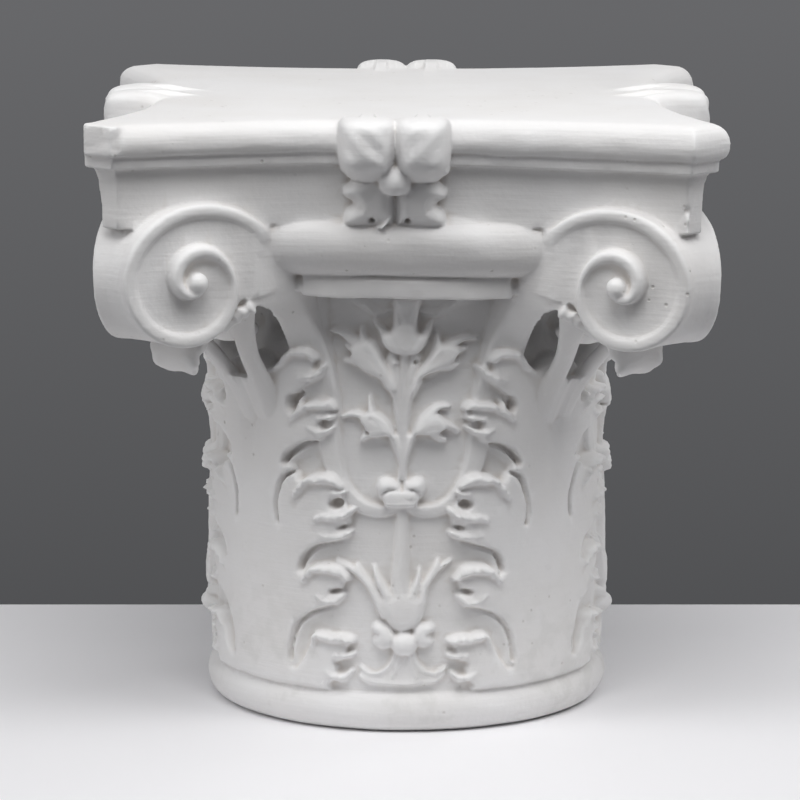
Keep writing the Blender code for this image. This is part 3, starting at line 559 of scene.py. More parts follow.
def carving(seed):
    """The carving's height over one quarter of the bell, a little different for each quarter."""
    columns = int(round(2 * QUARTER / GRAIN))
    rows = int(round((CARVED_TO - CARVED_FROM) / GRAIN)) + 1
    across = (np.arange(columns) + 0.5) / columns * 2 * QUARTER - QUARTER
    up = np.linspace(CARVED_FROM, CARVED_TO, rows)
    across, up = np.meshgrid(across * 1000.0, up * 1000.0)
    angle = 45.0 - np.abs(across) / 1000.0 / BELL_RADIUS * 180.0 / math.pi
    inwards = np.clip(1.0 - np.abs(angle) / 3.0, 0.0, 1.0)
    shift = noise(across, up, 34.0, seed) * 1.1 * (1 - inwards)
    lift = noise(across, up, 30.0, seed + 1) * 1.1
    leaf = leaf_height(angle + shift / LEAF_MM, up + lift)
    plant = plant_height(across + 0.5 * shift, up + 0.5 * lift)
    high = np.maximum(leaf, plant)
    ground = high < 0.6
    high += 0.45 * noise(across * 0.3, up, 7.0, seed + 2) * ground * (angle > 12)
    rough = 0.22 * noise(across, up, 5.0, seed + 3) + 0.30 * noise(across, up, 17.0, seed + 4)
    high += rough * ~ground
    cave = np.exp(-((angle - 5.5) / 4.5) ** 2 - ((up - 326.0) / 12.0) ** 2)
    return (high - 9.0 * cave * (high < 4.0)) / 1000.0


high = np.concatenate([carving(seed) for seed in (41, 51, 61, 71)], axis=1)
CARVED_ROWS = high.shape[0]
COLUMNS = high.shape[1]
ring_turns = np.radians(np.linspace(-90.0, 62.0, 13))
ring_profile = [(FOOT_RADIUS + (RING_RADIUS - FOOT_RADIUS) * math.cos(turn),
                 RING_HEIGHT / 2 * (1 + math.sin(turn))) for turn in ring_turns]
below = [(0.0, 0.0), (0.075, 0.0), (0.140, 0.0)] + ring_profile
above = [(BELL_RADIUS, 0.40), (BELL_RADIUS, BELL_TOP), (0.0, BELL_TOP)]
wall = [(BELL_RADIUS, level) for level in np.linspace(CARVED_FROM, CARVED_TO, CARVED_ROWS)]
profile = np.array(below + wall + above)


def carved_wall(across, along):
    row = np.rint(along * (len(profile) - 1)).astype(int)
    column = np.rint(across * COLUMNS).astype(int) % COLUMNS
    height = profile[row, 1]
    carved = row - len(below)
    there = (carved >= 0) & (carved < CARVED_ROWS)
    lift = np.where(there, high[np.clip(carved, 0, CARVED_ROWS - 1), column], 0.0)
    angle = (column + 0.5) / COLUMNS * math.tau - math.pi / 4
    worn = UNEVEN * noise(np.cos(angle) * 4, np.sin(angle) * 4 + height * 60, 2.0, 11)
    on_ring = (row > 3) & (row < len(below))
    radius = profile[row, 0] + lift + np.where(on_ring, worn, 0)
    height = height + np.where(row == len(below) - 1, UNEVEN * np.sin(angle * 3 + 0.5), 0)
    angle = angle + CARVING_TURN * np.clip((0.345 - height) / 0.075, 0.0, 1.0)
    return np.column_stack([radius * np.sin(angle), -radius * np.cos(angle), height])


shaped("bell", COLUMNS, len(profile) - 1, carved_wall)

# ---------------------------------------------------------------------------------------------
# The echinus and its lip: a thick round moulding over a thin one, on each side, run with a
# template along a line that is flatter than the bell, and stopped against the volutes.

LIP_BOTTOM = 0.359
LIP_TOP = 0.375
LIP_HALF = 0.0815
LIP_REACH = 0.1950
LIP_BEND = 0.300
ECHINUS_WIDEST = 0.4035
ECHINUS_TOP = 0.4192
ECHINUS_HALF = 0.107
ECHINUS_REACH = 0.210
ECHINUS_BEND = 0.520
ECHINUS_BELLY = 0.0275
ECHINUS_SHOULDER = 0.0130
INSIDE_BELL = 0.085


def echinus(across, along):
    x = ECHINUS_HALF * (2 * along - 1)
    lip_x = np.clip(x, -LIP_HALF, LIP_HALF)
    lip = LIP_REACH - LIP_BEND + np.sqrt(LIP_BEND ** 2 - lip_x ** 2)
    full = ECHINUS_REACH - ECHINUS_BEND + np.sqrt(ECHINUS_BEND ** 2 - x ** 2)
    root = np.full(x.shape, INSIDE_BELL)
    reach = [root, lip - 0.0020, lip, lip, lip - 0.0008, lip - 0.0070, full - 0.0310]
    level = [LIP_BOTTOM, LIP_BOTTOM, LIP_BOTTOM + 0.0014, LIP_TOP - 0.0022, LIP_TOP - 0.0010,
             LIP_TOP, LIP_TOP + 0.0010]
    lip_rows = len(level) - 1
    for turn in np.radians(np.linspace(-90, 0, 9)):
        reach.append(full - ECHINUS_BELLY + ECHINUS_BELLY * math.cos(turn))
        level.append(ECHINUS_WIDEST + (ECHINUS_WIDEST - LIP_TOP) * math.sin(turn))
    for turn in np.radians(np.linspace(15, 90, 6)):
        reach.append(full - ECHINUS_SHOULDER + ECHINUS_SHOULDER * math.cos(turn))
        level.append(ECHINUS_WIDEST + (ECHINUS_TOP - ECHINUS_WIDEST) * math.sin(turn))
    reach = np.array(reach + [full - 0.026, root])
    level = np.array(level + [BELL_TOP, BELL_TOP])
    count = len(level)
    spot = np.rint(across * count).astype(int) % count
    out = reach[spot, np.arange(len(x))]
    tall = level[spot]
    x = np.where(spot < lip_rows, lip_x, x)
    out = out + 0.0018 * noise(x, tall, 0.040, 21) * (out > 0.09)
    return np.column_stack([x, -out, tall + 0.0007 * noise(x, out, 0.06, 22)])


def repeated(piece, turns, mirror=False):
    """Copies of a piece around the capital, each with its own mesh."""
    deselect()
    copies = []
    for turn in turns:
        for flip in ((False, True) if mirror else (False,)):
            copy = bpy.data.objects.new(piece.name, piece.data.copy())
            bpy.context.scene.collection.objects.link(copy)
            if flip:
                copy.data.transform(Matrix.Scale(-1.0, 4, (1.0, 0.0, 0.0)))
                copy.data.flip_normals()
            copy.data.transform(Matrix.Rotation(turn, 4, "Z"))
            copies.append(copy)
            parts.append(copy)
    parts.remove(piece)
    bpy.data.objects.remove(piece)
    return copies


SIDES = [side * math.pi / 2 for side in range(4)]
repeated(shaped("echinus", 24, 60, echinus), SIDES)

# ---------------------------------------------------------------------------------------------
# The abacus: the concave-sided slab that carries the load. Its edge is run with a template too:
# a plain hollow member, a small fillet, and a half-round edge under the flat top.

ABACUS_TOP = 0.500
# The edge from the foot up: how far it stands out past the hollow's line, and its height.
ABACUS_PROFILE = (
    (-0.004, 0.4175), (-0.004, 0.426), (-0.0037, 0.436), (-0.0032, 0.446), (-0.0022, 0.456),
    (-0.0004, 0.462), (0.0008, 0.4648), (0.0066, 0.4656), (0.0072, 0.4664), (0.0072, 0.4742),
    (0.0078, 0.4752), (0.0112, 0.4764), (0.0132, 0.479), (0.0143, 0.4828), (0.0143, 0.4862),
    (0.0134, 0.4904), (0.0112, 0.4944), (0.0076, 0.4976), (0.003, 0.4994), (-0.003, 0.5),
)
EDGE_INSET = 0.003
HOLLOW_RADIUS = 0.597
HOLLOW_CENTRE = 0.789
CORNER_REACH = 0.3185
SIDE_SHARE = 0.93
CORNER_SHARE = 0.07
LEFT_CORNER_OUT = 0.0085
LEFT_LIMIT = -0.2494


def abacus(across, along):
    rows = np.array([(-0.30, ABACUS_PROFILE[0][1]), (-0.10, ABACUS_PROFILE[0][1])]
                    + list(ABACUS_PROFILE)
                    + [(inside, ABACUS_TOP) for inside in (-0.03, -0.10, -0.20, -0.30)])
    row = np.rint(along * (len(rows) - 1)).astype(int)
    offset, level = rows[row, 0], rows[row, 1]
    inner = offset < -0.02
    shrink = np.where(inner, 1.0 + (offset + EDGE_INSET) / 0.30, 1.0)
    offset = np.where(inner, -EDGE_INSET, offset)
    side = np.floor(across * 4)
    share = across * 4 - side
    worn = ((side == 3) & (share > 0.925)) | ((side == 0) & (share < 0.012))
    rough = 0.0122 + 0.0016 * noise(share * 3.0 + 0.5 * side, level, 0.012, 33)
    offset = np.where(worn & (level > 0.4754) & ~inner & (offset > 0.0), rough, offset)
    radius = HOLLOW_RADIUS - offset
    gap = HOLLOW_CENTRE - (CORNER_REACH + offset) * math.sqrt(2.0)
    half = (np.sqrt(2.0 * radius ** 2 - gap ** 2) - gap) / 2.0
    x = half * (2.0 * np.clip(share / SIDE_SHARE, 0.0, 1.0) - 1.0)
    y = -(HOLLOW_CENTRE - np.sqrt(radius ** 2 - x ** 2))
    end_x, end_y = half, -(HOLLOW_CENTRE - np.sqrt(radius ** 2 - half ** 2))
    chamfer = ramp(share, SIDE_SHARE, CORNER_SHARE)
    x = np.where(share > SIDE_SHARE, end_x + (-end_y - end_x) * chamfer, x)
    y = np.where(share > SIDE_SHARE, end_y + (-end_x - end_y) * chamfer, y)
    turn = side * math.pi / 2
    spot = np.column_stack([x * np.cos(turn) - y * np.sin(turn),
                            x * np.sin(turn) + y * np.cos(turn)])
    spot = spot * shrink[:, None]
    spot += 0.0007 * np.column_stack([noise(spot[:, 1], level * 3, 0.05, 31),
                                      noise(spot[:, 0], level * 3, 0.05, 32)])
    spread = ramp(-spot[:, 0], 0.150, 0.080) * ramp(-spot[:, 1], 0.120, 0.080)
    spot[:, 0] = np.maximum(spot[:, 0] - LEFT_CORNER_OUT * spread, LEFT_LIMIT)
    wave = 0.0009 * noise(spot[:, 0], spot[:, 1], 0.07, 34) * (level > 0.4740) * (level < 0.4770)
    return np.column_stack([spot, level + wave])


shaped("abacus", 4 * 100, len(ABACUS_PROFILE) + 5, abacus)

# The mould's seam left a row of beads on the right front arris: each one's height and radius.
SEAM = (0.2170, -0.2290)
SEAM_BEADS = (
    (0.4318, 0.0013), (0.429, 0.0017), (0.4259, 0.0013), (0.423, 0.0012), (0.4196, 0.0015),
)
for bead_level, bead_radius in SEAM_BEADS:
    deselect()
    bpy.ops.mesh.primitive_ico_sphere_add(subdivisions=2, radius=bead_radius,
                                          location=(*SEAM, bead_level))
    seam_bead = bpy.context.object
    seam_bead.name = "seam_bead"
    bpy.ops.object.transform_apply(location=True)
    parts.append(seam_bead)

# ---------------------------------------------------------------------------------------------
# The volutes: at each corner one scroll with a face on either side. The band on the panel's edge
# grows up into it. Its rim winds in like a snail, and each turn stands further out than the last.

FACE_RADIUS = 0.480
FACE_CENTRE = 0.670
EYE_X = 0.166
EYE_Z = 0.376
# The spiral's radius at each quarter turn, from 90 degrees before the top.
SPIRAL = (0.075, 0.0596, 0.057, 0.0508, 0.0338, 0.0284, 0.0204, 0.0118, 0.007, 0.0052)
# Along the rim, by its degrees: its width, how far it stands out, and how far its floor does,
# in millimetres.
RIM_PLACES = (-64, -20, 40, 90, 130, 180, 225, 270, 300, 335, 360, 400, 450, 540, 630, 705)
RIM_WIDTHS = (8, 9.5, 10.5, 9.5, 9.5, 10.5, 8.5, 4.5, 6.5, 9.5, 10.5, 10.5, 9.5, 7.5, 6, 5)
RIM_CRESTS = (2, 5.6, 6.2, 2.4, 3.6, 6.2, 6.4, 6.6, 8.5, 11.2, 12.6, 13.4, 13.8, 14.2, 14.8, 15.4)
RIM_FLOORS = (0.6, 0.6, 0.6, 0.8, 0.9, 1, 1.6, 3.2, 3.8, 4, 4, 4.2, 4.6, 5.4, 6.2, 7)
RIM_FROM = -64.0
RIM_TO = 705.0
ROOT_DEPTH = -0.008
DRUM_FROM = -60
DRUM_LEAVES_SPIRAL = 232
KNOB_RADIUS = 0.0082


def spiral_radius(degrees):
    return smooth_path(SPIRAL, (degrees + 90.0) / 90.0)


def on_face(along, height, proud):
    """A place on a volute's face, with along measured from the eye towards the corner."""
    bearing = math.asin(EYE_X / FACE_RADIUS) + along / FACE_RADIUS
    reach = FACE_CENTRE - FACE_RADIUS * np.cos(bearing)
    lean_back = 0.80 * np.maximum(0.0, -along - 0.055)
    return np.column_stack([(FACE_RADIUS - proud) * np.sin(bearing),
                            -(reach - lean_back + proud * np.cos(bearing)), height])


def scroll(across, along):
    """The raised rim and the channel inside it, swept along the spiral."""
    degrees = RIM_FROM + (RIM_TO - RIM_FROM) * along
    outer = spiral_radius(degrees)
    last_radius = max(0.0, spiral_radius(RIM_TO) - 0.004)
    inner = np.where(degrees > RIM_TO - 360, last_radius,
                     spiral_radius(np.minimum(degrees + 360, RIM_TO)))
    room = outer - inner
    late = ramp(degrees, 190.0, 220.0)
    crest = np.interp(degrees, RIM_PLACES, RIM_CRESTS) / 1000.0
    floor = np.interp(degrees, RIM_PLACES, RIM_FLOORS) / 1000.0
    rim = np.minimum(np.interp(degrees, RIM_PLACES, RIM_WIDTHS) / 1000.0, 0.60 * room)
    deep = np.full(room.shape, ROOT_DEPTH)
    channel = room - 1.20 * rim
    section = np.array([
        (outer + 0.0004, deep), (outer + 0.0006, floor * 0.2), (outer + 0.0002, crest * 0.62),
        (outer - 0.0010, crest * 0.90), (outer - rim * 0.30, crest),
        (outer - rim * 0.62, crest * 0.98), (outer - rim * 0.86, crest * 0.90),
        (outer - rim, floor + 0.55 * (crest - floor)),
        (outer - rim * 1.12, floor + (0.14 + 0.16 * late) * (crest - floor)),
        (outer - rim * 1.20 - 0.25 * channel, floor * (0.85 + 0.1 * late)),
        (outer - rim * 1.20 - 0.65 * channel, floor * 0.92),
        (inner + 0.0005, floor), (inner - 0.0015, floor * 0.9), (inner - 0.0015, deep)])
    count = len(section)
    spot = across * count
    low = np.floor(spot).astype(int) % count
    part = spot - np.floor(spot)
    each = np.arange(len(along))
    radius, proud = (section[low, row, each] * (1 - part)
                     + section[(low + 1) % count, row, each] * part for row in (0, 1))
    radius = np.maximum(radius, 0.0)
    angle = np.radians(degrees)
    return on_face(radius * np.sin(angle), EYE_Z + radius * np.cos(angle), proud)


def swapped(spots):
    """The same places on the next side's face, across the corner's diagonal."""
    return np.column_stack([-spots[:, 1], -spots[:, 0], spots[:, 2]])


def outwards(spots):
    """The level way from the capital's middle line to each place."""
    way = spots * (1.0, 1.0, 0.0)
    return way / np.linalg.norm(way, axis=1)[:, None]


# Where the drum leaves the spiral and comes back to it: degrees and radius.
DRUM_TURNS = (-60, 0, 90, 180, 232, 248, 262, 280, 300)
DRUM_RADII = (0.066, 0.0596, 0.057, 0.0508, 0.0410, 0.042, 0.0707, 0.069, 0.066)


def drum(across, along):
    """The body of the scroll between its two faces, with a slightly hollow outer band."""
    degrees = DRUM_FROM + 360 * across
    outline = np.where(degrees < DRUM_LEAVES_SPIRAL, spiral_radius(degrees),
                       np.interp(degrees, DRUM_TURNS, DRUM_RADII))
    share = np.interp(along, [0, 0.3, 0.7, 1], [0, 1, 1, 0])
    side = ramp(along, 0.3, 0.4)
    angle = np.radians(degrees)
    radius = outline * share
    face = on_face(radius * np.sin(angle), EYE_Z + radius * np.cos(angle), 0.001)
    spot = face * (1 - side)[:, None] + swapped(face) * side[:, None]
    hollow = 0.0040 * np.sin(math.pi * side) ** 0.7 * (share > 0.99)
    return spot - outwards(spot) * hollow[:, None]


def knob(across, along):
    """The rounded end of the scroll in the middle of its eye."""
    turn = across * math.tau
    lift = (along - 0.5) * math.pi
    radius = KNOB_RADIUS * np.cos(lift)
    return on_face(radius * np.sin(turn) - 0.0008, EYE_Z + radius * np.cos(turn),
                   0.0095 + 0.0085 * np.sin(lift))


for piece in (shaped("scroll", 56, 250, scroll), shaped("knob", 20, 14, knob)):
    repeated(piece, SIDES, mirror=True)
repeated(shaped("drum", 120, 30, drum), SIDES)

# ---------------------------------------------------------------------------------------------
# The stems: the last stretch of each band, which leans out from the panel's edge and runs into
# the face of the volute with one broad, soft surface.

# Up the stem: the inner edge's x, y and z, and the outer edge's.
STEM_EDGES = (
    ((0.048, -0.148, 0.245), (0.077, -0.1355, 0.24)),
    ((0.056, -0.1545, 0.285), (0.083, -0.144, 0.278)),
    ((0.0639, -0.1543, 0.315), (0.0935, -0.1505, 0.308)),
    ((0.0735, -0.16, 0.337), (0.1012, -0.167, 0.332)),
    ((0.085, -0.1745, 0.362), (0.1105, -0.195, 0.3495)),
    ((0.093, -0.1865, 0.379), (0.1215, -0.2058, 0.3555)),
    ((0.106, -0.199, 0.401), (0.133, -0.2078, 0.362)),
    ((0.109, -0.2005, 0.418), (0.142, -0.206, 0.372)),
)
# Around the stem: the share of the way from edge to edge, and how far it stands out.
STEM_ACROSS = (
    (0, -0.03), (0, 0), (0.03, 0.0016), (0.1, 0.0024), (0.2, 0.0018), (0.35, 0.0006), (0.6, 0.0002),
    (0.85, 0.0003), (0.97, -0.0004), (1, -0.002), (1, -0.03),
)


def stem(across, along):
    place = along * (len(STEM_EDGES) - 1)
    inner, outer = (smooth_path([edge[index] for edge in STEM_EDGES], place) for index in (0, 1))
    count = len(STEM_ACROSS)
    share, proud = np.array(STEM_ACROSS)[np.rint(across * count).astype(int) % count].T
    sink = 0.0030 * ramp(along, 0.70, 0.20)
    place = inner * (1 - share)[:, None] + outer * share[:, None]
    return place + outwards(place) * (proud - sink)[:, None]


repeated(shaped("stem", len(STEM_ACROSS), 60, stem), SIDES, mirror=True)

# ---------------------------------------------------------------------------------------------
# The tops of the leaves: a tongue that leans out and curls over under the volutes, and on either
# side of it a neck that reaches up to the scroll, with a few small curled toes.

CORNERS = [side * math.pi / 2 + math.pi / 4 for side in range(4)]
# Along the tongue: its reach on the diagonal, height, half its width and half its thickness.
TIP_STATIONS = (
    (0.19, 0.326, 0.024, 0.008), (0.206, 0.335, 0.025, 0.0085), (0.224, 0.341, 0.027, 0.0085),
    (0.242, 0.339, 0.0285, 0.0085), (0.2545, 0.328, 0.0285, 0.0085), (0.2575, 0.316, 0.026, 0.008),
    (0.253, 0.3065, 0.02, 0.007), (0.246, 0.3025, 0.012, 0.0055),
)


def blunt(value, power):
    """Square off a sine or cosine, keeping its sign."""
    return np.sign(value) * np.abs(value) ** power


def tongue(across, along):
    last = len(TIP_STATIONS) - 1
    place = along * last
    reach, height, half, thick = smooth_path(TIP_STATIONS, place).T
    ahead = (smooth_path(TIP_STATIONS, np.minimum(place + 0.05, last))
             - smooth_path(TIP_STATIONS, np.maximum(place - 0.05, 0)))
    way = ahead[:, :2] / np.linalg.norm(ahead[:, :2], axis=1)[:, None]
    angle = across * math.tau
    beats = np.sin(along * 34.0 + (np.cos(angle) > 0) * 1.5)
    scallop = 1.0 + 0.045 * beats * ramp(along, 0.40, 0.25)
    x = half * scallop * blunt(np.cos(angle), 0.8)
    step = thick * blunt(np.sin(angle), 0.8)
    late = ramp(along, 0.3, 0.25)
    droop = 0.30 * half * (np.abs(x) / half) ** 2 * late
    rib = 0.0026 * hump(x, 0.005) * late
    wave = 0.0012 * np.cos(x * 520.0) * ramp(along, 0.45, 0.25)
    out = reach - way[:, 1] * (step + (rib + wave) * (step < 0))
    return np.column_stack([x, -out, height + way[:, 0] * step - droop])


# Up the neck: how far aside of the diagonal, its reach along it, height and half its width.
NECK_STATIONS = (
    (0.01, 0.15, 0.225, 0.01), (0.013, 0.162, 0.25, 0.01), (0.0153, 0.1737, 0.272, 0.0096),
    (0.018, 0.1856, 0.29, 0.0088), (0.0226, 0.1994, 0.308, 0.0082), (0.0311, 0.2124, 0.325, 0.009),
    (0.0385, 0.2245, 0.341, 0.0122), (0.044, 0.231, 0.352, 0.014), (0.047, 0.231, 0.361, 0.013),
)


def neck(across, along):
    aside, reach, height, half = smooth_path(NECK_STATIONS, along * (len(NECK_STATIONS) - 1)).T
    angle = across * math.tau
    broad = half * blunt(np.cos(angle), 0.85)
    thick = 0.0078 * np.sin(angle)
    return np.column_stack([aside - 0.7071 * broad + 0.7071 * thick,
                            -(reach + 0.7071 * broad + 0.7071 * thick), height])


# The webs behind the tongue: the reach of the front, the height, and half the width.
LOW_WEB = (
    (0.16, 0.225, 0.01), (0.1705, 0.246, 0.013), (0.18, 0.266, 0.016), (0.187, 0.279, 0.018),
    (0.1915, 0.2865, 0.019),
)
HIGH_WEB = (
    (0.214, 0.319, 0.014), (0.22, 0.322, 0.02), (0.227, 0.328, 0.026), (0.233, 0.337, 0.03),
    (0.237, 0.346, 0.032),
)
WEB_DEEP = 0.016


def web(across, along, stations):
    front, height, half = smooth_path(stations, along * (len(stations) - 1)).T
    angle = across * math.tau
    x = half * blunt(np.cos(angle), 0.7)
    out = front - WEB_DEEP + WEB_DEEP * blunt(np.sin(angle), 0.6)
    dip = 0.0030 * hump(x, 0.0045) * (np.sin(angle) > 0)
    return np.column_stack([x, -(out - dip), height])


repeated(shaped("tongue", 48, 90, tongue), CORNERS)
repeated(shaped("neck", 24, 60, neck), CORNERS, mirror=True)
for stations in (LOW_WEB, HIGH_WEB):
    repeated(shaped("web", 32, 24, lambda across, along: web(across, along, stations)), CORNERS)

# The toes: each one's x, y and z, half its length and width, and its tilt in degrees.
TOES = (
    (0.1222, -0.2035, 0.3535, 0.0062, 0.0036, 62), (0.1278, -0.204, 0.35, 0.006, 0.0042, 25),
    (0.1335, -0.2035, 0.3462, 0.0058, 0.0044, 50), (0.1385, -0.203, 0.3415, 0.0052, 0.004, 20),
    (0.1425, -0.202, 0.3372, 0.0046, 0.0034, 55),
)


def toe(across, along, index):
    turn = across * math.tau
    lift = (along - 0.5) * math.pi
    x, y, z, half_long, half_wide, tilt = TOES[index]
    lumpy = 1.0 + 0.16 * np.sin(3.0 * turn + 2.0 * index) * np.cos(lift)
    run = half_long * np.cos(lift) * np.cos(turn) * lumpy
    rise = half_wide * np.cos(lift) * np.sin(turn) * lumpy
    tilt = math.radians(tilt)
    return np.column_stack([x + run * math.cos(tilt) - rise * math.sin(tilt),
                            y - 0.0060 * np.sin(lift),
                            z + run * math.sin(tilt) + rise * math.cos(tilt)])


for index in range(len(TOES)):
    repeated(shaped("toe", 18, 12, lambda across, along: toe(across, along, index)), SIDES,
             mirror=True)

# ---------------------------------------------------------------------------------------------
# The flowers: one in the middle of each side of the abacus, carved from a block left standing on
# it. Two full petals curl forward over a round middle, with two flatter ones below.

FLOWER_WIDE = 0.096
FLOWER_TALL = 0.0885
FLOWER_LEVEL = 0.461
FLOWER_ROOT = 0.150
FLOWER_GROUND = 0.176
FLOWER_FACE = 0.191
FLOWER_REACH = 0.2470
FRONT_FLOWER_SHIFT = -0.0095
# A lower petal's outline in millimetres, out from the flower's middle and up from the base.
LOW_PETAL = (
    (0, 447), (5, 456), (17, 460), (27, 456.5), (36, 451.5), (40.8, 446), (40, 440.5), (35, 437.5),
    (32.6, 434.5), (36.6, 431), (39.8, 426), (39.6, 418), (30, 416), (17, 416.4), (7, 417.5),
    (0, 420),
)


def flower_height(x, z):
    """How far the flower stands in front of the abacus's face, in millimetres."""
    high = np.zeros(x.shape)
    for side in (-1, 1):
        across = (x * side - 21.4) / (23.2 if side < 0 else 22.4)
        up = (z - 478.5) / 26.8
        square = np.where(up > 0, 8.0, 2.4)
        full = np.maximum(0.0, 1.0 - np.abs(across) ** 2.8 - np.abs(up) ** square)
        if side < 0:
            folds = np.cos(0.30 * (x + z) + 1.2) * (1 - 0.5 * np.abs(up))
        else:
            folds = 0.6 * np.cos(0.30 * (x - z)) + 1.2 * hump(z - 466 + 0.25 * x, 3.0)
        petal = (55.5 + folds) * full ** 0.34
        petal -= 9.0 * hump(z - 457.0, 9.0) * (full > 0)
        np.maximum(high, np.where(full > 0, petal, 0), out=high)
        low = pillow(x * side, z, LOW_PETAL, 24.0, 11.0)
        low = low * (0.80 + 0.20 * ramp(z, 417, 30))
        low -= bead(x, z, (10.0 if side > 0 else -18.0, 423.0), (2.9, 2.7), 9.0)
        low -= bead(x * side, z, (26, 431.5), (2.0, 2.0), 2.5)
        np.maximum(high, low, out=high)
        curl = bead(x * side, z, (39.0, 463.5), (4.0, 4.6), 34.0)
        np.maximum(high, curl if side > 0 else 0.80 * curl, out=high)
    ball = np.hypot(x / 12.5, (z - 454.0) / np.where(z > 454.0, 13.5, 10.5))
    dome = 0.62 + 0.38 * np.sqrt(np.maximum(0.0, 1.0 - ball ** 2))
    np.maximum(high, 41.0 * (ball < 1) * dome, out=high)
    strand = stroke(x, z, ((-17, 414), (-10, 418), (-3, 426)), (2.6, 2.8, 1.6), 22.0)
    return np.maximum(high, strand * (1 + 0.12 * np.sin(1.6 * (x - z))))


def flower():
    deselect()
    bpy.ops.mesh.primitive_grid_add(x_subdivisions=100, y_subdivisions=100, size=1.0)
    piece = bpy.context.object
    piece.name = "flower"
    bpy.ops.object.mode_set(mode="EDIT")
    bpy.ops.mesh.select_all(action="SELECT")
    bpy.ops.mesh.extrude_region_move(TRANSFORM_OT_translate={"value": (0.0, 0.0, 1.0)})
    bpy.ops.object.mode_set(mode="OBJECT")
    spots = spots_of(piece)
    x = spots[:, 0] * FLOWER_WIDE
    z = FLOWER_LEVEL + spots[:, 1] * FLOWER_TALL
    front = spots[:, 2] > 0.5
    tall = flower_height(x * 1000, z * 1000)
    carved = np.where(tall > 0, FLOWER_FACE + 0.001 * tall, FLOWER_GROUND)
    out = np.minimum(np.where(front, carved, FLOWER_ROOT), FLOWER_REACH)
    z = np.where(front & (tall > 0), z, np.minimum(z, ABACUS_TOP - 0.0025))
    put_spots(piece, np.column_stack([x, -out, z]))
    return close_up(piece)


flowers = repeated(flower(), SIDES)
flowers[0].data.transform(Matrix.Translation((FRONT_FLOWER_SHIFT, 0.0, 0.0)))

# ---------------------------------------------------------------------------------------------
# The cast: all of it came out of the mould as one piece of white plaster, so every form runs
# into the next with a small fillet. It has sagged a little to the right.

VOXEL = 0.0013
TRIANGLES = 198000
SAG = 0.0042
SEAM_HOLE_LEVEL = 0.4322
SEAM_HOLE_DEPTH = 0.0030
SEAM_HOLE_WIDTH = 0.0024

deselect()
for piece in parts:
    piece.select_set(True)
bpy.context.view_layer.objects.active = parts[0]
bpy.ops.object.join()
capital = bpy.context.object
remesh = capital.modifiers.new("cast", "REMESH")
remesh.mode = "VOXEL"
remesh.voxel_size = VOXEL
bpy.ops.object.modifier_apply(modifier="cast")


def links_of(piece):
    """Every edge twice, once from each end: the points it leaves and the points it reaches."""
    edges = np.empty(len(piece.data.edges) * 2, np.int64)
    piece.data.edges.foreach_get("vertices", edges)
    edges = edges.reshape(-1, 2)
    return np.concatenate([edges[:, 0], edges[:, 1]]), np.concatenate([edges[:, 1], edges[:, 0]])


def gathered(ends, values, count):
    """Add up at each point the values of the edges that leave it."""
    return np.column_stack([np.bincount(ends, weights=column, minlength=count)
                            for column in values.T])


spots = spots_of(capital)
ends, others = links_of(capital)
links = np.bincount(ends, minlength=len(spots))[:, None]
spots = spots + 0.5 * (gathered(ends, spots[others], len(spots)) / links - spots)
side = ramp(spots[:, 0], -0.10, 0.30)
side = side * side * (3 - 2 * side)
level = ramp(spots[:, 2], 0.25, 0.10) * np.clip((0.502 - spots[:, 2]) / 0.03, 0.0, 1.0)
spots[:, 2] -= SAG * side * level
from_hole = np.linalg.norm(spots - (*SEAM, SEAM_HOLE_LEVEL), axis=1)
hole = SEAM_HOLE_DEPTH * hump(from_hole, SEAM_HOLE_WIDTH)
spots[:, :2] *= (1.0 - hole / math.hypot(*SEAM))[:, None]
put_spots(capital, spots)

thin = capital.modifiers.new("thin", "DECIMATE")
faces = sum(len(face.vertices) - 2 for face in capital.data.polygons)
thin.ratio = min(1.0, TRIANGLES / faces)
bpy.ops.object.modifier_apply(modifier="thin")

# The remesh leaves a few crumbs in closed gaps. The cast is the largest run of joined faces.
neighbours = set(bpy.data.objects) - {capital}
deselect()
capital.select_set(True)
bpy.ops.mesh.separate(type="LOOSE")
crumbs = sorted(set(bpy.data.objects) - neighbours, key=lambda piece: len(piece.data.polygons))
capital = crumbs.pop()
for crumb in crumbs:
    bpy.data.meshes.remove(crumb.data)
capital.name = "plaster_capital"
capital.data.name = "plaster_capital"
low_corner, high_corner = np.array(cad_box)
put_spots(capital, np.clip(spots_of(capital), low_corner, high_corner))
deselect()
capital.select_set(True)
bpy.context.view_layer.objects.active = capital
bpy.ops.object.shade_smooth()

# How deep each point lies in a hollow, or stands out, in millimetres from the eased surface.
# Long edges carry nothing, so a broad flat face takes no tint from its far corners.
EASING_ROUNDS = 12
LONG_EDGE = 0.0075

spots = spots_of(capital)
ends, others = links_of(capital)
lengths = np.linalg.norm(spots[ends] - spots[others], axis=1)
weight = np.clip(1.0 - lengths / LONG_EDGE, 0.0, 1.0)[:, None]
total = gathered(ends, weight, len(spots))
eased = spots.copy()
for _ in range(EASING_ROUNDS):
    pull = gathered(ends, weight * (eased[others] - eased[ends]), len(spots))
    eased = eased + 0.6 * pull / (total + 0.15)
normals = np.empty(len(spots) * 3)
capital.data.vertices.foreach_get("normal", normals)
recess = np.einsum("ij,ij->i", eased - spots, normals.reshape(-1, 3)) * 1000.0
recess *= ramp(total[:, 0] / np.bincount(ends, minlength=len(spots)), 0.25, 0.25)
# The material reads this measure for the painted shade in the hollows and the lighter rubbed edges.
layer = capital.data.attributes.new("recess", "FLOAT", "POINT")
layer.data.foreach_set("value", np.ascontiguousarray(recess))
